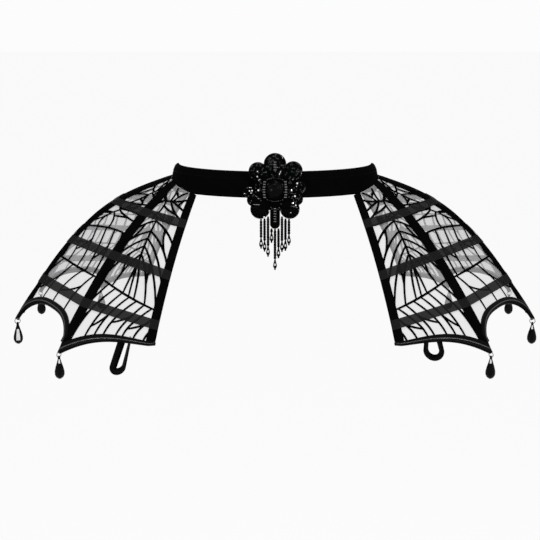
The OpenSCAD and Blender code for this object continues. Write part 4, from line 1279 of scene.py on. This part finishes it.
    def covered(self, p, before, clear):
        """Whether a place lies under the frame, on the ladder's strip or under a petal before this one."""
        if max(abs(p)) < clear or (abs(p[0]) < self.STRIP_HALF and p[1] < 0):
            return True
        return any(np.linalg.norm(p - np.array(lobe[:2]) * self.WIDTH) < lobe[2] * self.WIDTH
                   for lobe in self.LOBES[:before])

    def fan(self, mesh, beads, middle, radius):
        """Bugles spread from a petal's inner end to its rim."""
        outward = math.atan2(middle[1], middle[0])
        base = middle - radius * self.FAN_BASE * np.array((math.cos(outward), math.sin(outward)))
        half = (self.FAN_COUNT - 1) / 2
        for k in range(self.FAN_COUNT):
            a = outward + self.FAN_SPREAD * (k - half) / half
            along = np.array((math.cos(a), self.FAN_SWAY * math.sin(self.FAN_SWAY_RATE * k), math.sin(a)))
            long = self.FAN_LONG * radius * (self.FAN_REACH - self.FAN_LOSS * abs(k - half) / half)
            spot = base + long * np.array((math.cos(a), math.sin(a)))
            across = unit(np.cross((0.0, -1.0, 0.0), along))
            mesh.scatter(bugle_bead(beads.bugle_thick * self.FAN_THICK, long),
                         [self.face(*spot, beads.petal_height * self.FAN_RISE)],
                         [np.stack([across, np.cross(along, across), unit(along)])])

    def frame(self, beads):
        """Bugles down each side, bowed rows of round beads, a ring round the stone and two ladders."""
        mesh = Mesh()
        c, s = math.cos(self.BUGLE_ROLL), math.sin(self.BUGLE_ROLL)
        along_x = np.array(((0, s, c), (0, -c, s), (1, 0, 0)))
        half = beads.frame_width / 2 - beads.bugle_thick / 2
        step, rise = beads.bugle_thick * self.BUGLE_STEP, beads.bugle_thick * self.BUGLE_RISE
        upper_z = self.LOBES[0][1] * self.WIDTH
        upper_rise = beads.petal_height + beads.bugle_thick * self.UPPER_RISE
        down = np.arange(self.SIDE_BUGLES) - (self.SIDE_BUGLES - 1) / 2
        spots = [(end * (half - self.SIDE_BOW * k * k), k * step, rise) for end in (-1, 1) for k in down]
        spots += [(0, -half - beads.round - k * step, rise) for k in self.LOWER_LADDER]
        spots += [(0, upper_z + k * step, upper_rise) for k in self.UPPER_LADDER]
        bugle = bugle_bead(beads.bugle_thick, beads.bugle_long)
        mesh.scatter(bugle, [self.face(*p) for p in spots], [along_x] * len(spots))
        across = (np.arange(self.ROUND_COUNT) - (self.ROUND_COUNT - 1) / 2) * beads.round * self.ROUND_STEP
        spots = [(x, end * (half + self.ROUND_OUT - x * x * self.ROUND_BOW), beads.round * self.ROUND_RISE)
                 for end in (-1, 1) for x in across]
        self.beaded(mesh, round_bead(beads.round * self.ROUND_SIZE), spots, self.ROUND_TILT)
        radius = STONE_RADIUS + beads.rim / 2
        spots = [(radius * math.cos(a), radius * math.sin(a), beads.rim * self.RING_RISE)
                 for a in np.linspace(0, 2 * math.pi, self.RING_COUNT, endpoint=False)]
        self.beaded(mesh, round_bead(beads.rim), spots, self.RING_TILT)
        return mesh

    def stone(self):
        """A domed stone with a spiral ridge pressed into it."""
        height, seat = STONE_HIGH.y - STONE_LOW.y, FACE_Y - self.STONE_LIFT
        a = np.linspace(0, 2 * math.pi, self.STONE_SIDES, endpoint=False)
        rows = []
        for share in np.linspace(0, 1, self.STONE_RINGS):
            r = STONE_RADIUS * math.cos(share * math.pi / 2)
            lift = height * (self.STONE_WALL + self.STONE_DOME * math.sin(share * math.pi / 2))
            grown = math.sin(math.pi * share) ** self.RIDGE_GROWTH
            ridge = np.sin(self.RIDGE_ARMS * a + self.RIDGE_TURN * share) * self.RIDGE_HEIGHT * grown
            rows.append(np.stack([r * np.cos(a), seat - lift - ridge, FACE_Z + r * np.sin(a)], -1))
        foot = rows[0].copy()
        foot[:, 1] = seat
        mesh = Mesh()
        mesh.grid(np.array([foot, *rows]), solid=True)
        return mesh

    def crystals(self, beads):
        """Small cut crystals strewn over the petals."""
        mesh = Mesh()
        for i, (x, z, size) in enumerate(self.CRYSTALS):
            place = self.face(x * self.WIDTH, z * self.WIDTH, beads.petal_height)
            mesh.scatter(cut_crystal(beads.crystal), [place], [self.tilted(i) * size])
        return mesh


class PANNIER_OT_stage(bpy.types.Operator):
    """Set up the camera, the soft lights and the pale floor."""

    bl_idname = "pannier.stage"
    bl_label = "Stage"

    # The camera: width of its sensor, then the picture's size, focal length and middle line in pixels
    SENSOR = 36
    IMAGE_PIXELS = 540
    FOCAL_PIXELS = 1180
    AXIS_PIXEL = 275
    CAMERA_PLACE = (0, -1.5, 0.198)
    CAMERA_PITCH = 12.137
    FLOOR_Z = -1.0
    WHITE = 0.974
    FLOOR_LEVEL = 0.995
    # How far the floor reaches, its colour under the lamps, and the share of its own level where it is seen
    FLOOR_REACH, FLOOR_COLOUR, FLOOR_SHOWN = 40.0, 0.9, 0.92
    WORLD_LEVEL = 0.5
    # Lamps: place, width, height, power
    LAMPS = (((-1.0, -1.2, 0.3), 0.05, 0.3, 10), ((1.0, -1.2, 0.3), 0.05, 0.3, 10),
             ((0.1, -0.9, 1.5), 0.3, 0.16, 16))

    def execute(self, context):
        scene = context.scene
        scene.view_settings.view_transform = "Standard"
        self.camera(scene)
        self.world(scene)
        for i, (place, wide, high, power) in enumerate(self.LAMPS):
            data = bpy.data.lights.new(f"softbox_{i + 1}", "AREA")
            data.shape, data.size, data.size_y, data.energy = "RECTANGLE", wide, high, power
            lamp = bpy.data.objects.new(data.name, data)
            lamp.location = place
            lamp.rotation_euler = (-Vector(place)).to_track_quat("-Z", "Y").to_euler()
            scene.collection.objects.link(lamp)
        self.floor()
        return {"FINISHED"}

    def camera(self, scene):
        data = bpy.data.cameras.new("camera")
        data.sensor_width = self.SENSOR
        data.lens = self.SENSOR * self.FOCAL_PIXELS / self.IMAGE_PIXELS
        data.shift_x = (self.IMAGE_PIXELS / 2 - self.AXIS_PIXEL) / self.IMAGE_PIXELS
        made = bpy.data.objects.new("camera", data)
        made.location = self.CAMERA_PLACE
        made.rotation_euler = (math.radians(90 - self.CAMERA_PITCH), 0, 0)
        scene.collection.objects.link(made)
        scene.camera = made

    def seen(self, tree):
        """One where the camera looks, also in mirrors and through glass."""
        path = tree.nodes.new("ShaderNodeLightPath")
        last = path.outputs["Is Camera Ray"]
        for ray in ("Is Glossy Ray", "Is Transmission Ray"):
            either = tree.nodes.new("ShaderNodeMath")
            either.operation = "MAXIMUM"
            tree.links.new(last, either.inputs[0])
            tree.links.new(path.outputs[ray], either.inputs[1])
            last = either.outputs[0]
        return last

    def show(self, tree, factor, first, second, output):
        """Joins two shaders by a factor and shows them."""
        both = tree.nodes.new("ShaderNodeMixShader")
        for socket, source in zip(both.inputs, (factor, first.outputs[0], second.outputs[0])):
            tree.links.new(source, socket)
        tree.links.new(both.outputs[0], tree.nodes.new(output).inputs["Surface"])

    def world(self, scene):
        scene.world = scene.world or bpy.data.worlds.new("studio")
        scene.world.use_nodes = True
        tree = scene.world.node_tree
        tree.nodes.clear()
        shown, light = tree.nodes.new("ShaderNodeBackground"), tree.nodes.new("ShaderNodeBackground")
        for node, level in ((shown, self.WHITE), (light, self.WORLD_LEVEL)):
            node.inputs["Color"].default_value = (level, level, level, 1)
            node.inputs["Strength"].default_value = 1
        self.show(tree, self.seen(tree), light, shown, "ShaderNodeOutputWorld")

    def floor(self):
        ends = -self.FLOOR_REACH, self.FLOOR_REACH
        mesh = Mesh()
        mesh.grid(np.array([[(x, y, self.FLOOR_Z) for x in ends] for y in ends]))
        material = bpy.data.materials.new("pale_floor")
        material.use_nodes = True
        tree = material.node_tree
        tree.nodes.clear()
        diffuse, glow = tree.nodes.new("ShaderNodeBsdfDiffuse"), tree.nodes.new("ShaderNodeEmission")
        for node, level in ((diffuse, self.FLOOR_COLOUR), (glow, self.FLOOR_LEVEL)):
            node.inputs["Color"].default_value = (level, level, level, 1)
        part = tree.nodes.new("ShaderNodeMath")
        part.operation = "MULTIPLY"
        part.inputs[1].default_value = self.FLOOR_SHOWN
        tree.links.new(self.seen(tree), part.inputs[0])
        self.show(tree, part.outputs[0], diffuse, glow, "ShaderNodeOutputMaterial")
        mesh.piece("floor", material)


MAKERS = (PANNIER_OT_stage, PANNIER_OT_belt, PANNIER_OT_ribs, PANNIER_OT_veils, PANNIER_OT_bands,
          PANNIER_OT_hem, PANNIER_OT_lace, PANNIER_OT_loops, PANNIER_OT_drops, PANNIER_OT_fringe,
          PANNIER_OT_rosette)


class PANNIER_PT_sidebar(bpy.types.Panel):
    """Lists the pieces of the pannier belt and its sizes."""

    bl_idname = "PANNIER_PT_sidebar"
    bl_label = "Pannier belt"
    bl_space_type = "VIEW_3D"
    bl_region_type = "UI"
    bl_category = "Pannier belt"

    def draw(self, context):
        settings = context.scene.pannier_belt
        for maker in MAKERS:
            self.layout.operator(maker.bl_idname)
        for group in (settings.belt, settings.wing, settings.beads, settings.finish):
            box = self.layout.box()
            for name in group.__annotations__:
                box.prop(group, name)


CLASSES = (BeltSizes, WingSizes, BeadSizes, Finishes, PannierBelt, *MAKERS, PANNIER_PT_sidebar)


def register():
    for cls in CLASSES:
        bpy.utils.register_class(cls)
    bpy.types.Scene.pannier_belt = PointerProperty(type=PannierBelt)


def unregister():
    del bpy.types.Scene.pannier_belt
    for cls in reversed(CLASSES):
        bpy.utils.unregister_class(cls)


def main():
    """Registers the add-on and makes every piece."""
    register()
    for maker in MAKERS:
        group, name = maker.bl_idname.split(".")
        getattr(getattr(bpy.ops, group), name)()
    bpy.context.view_layer.update()


if __name__ == "__main__":
    main()
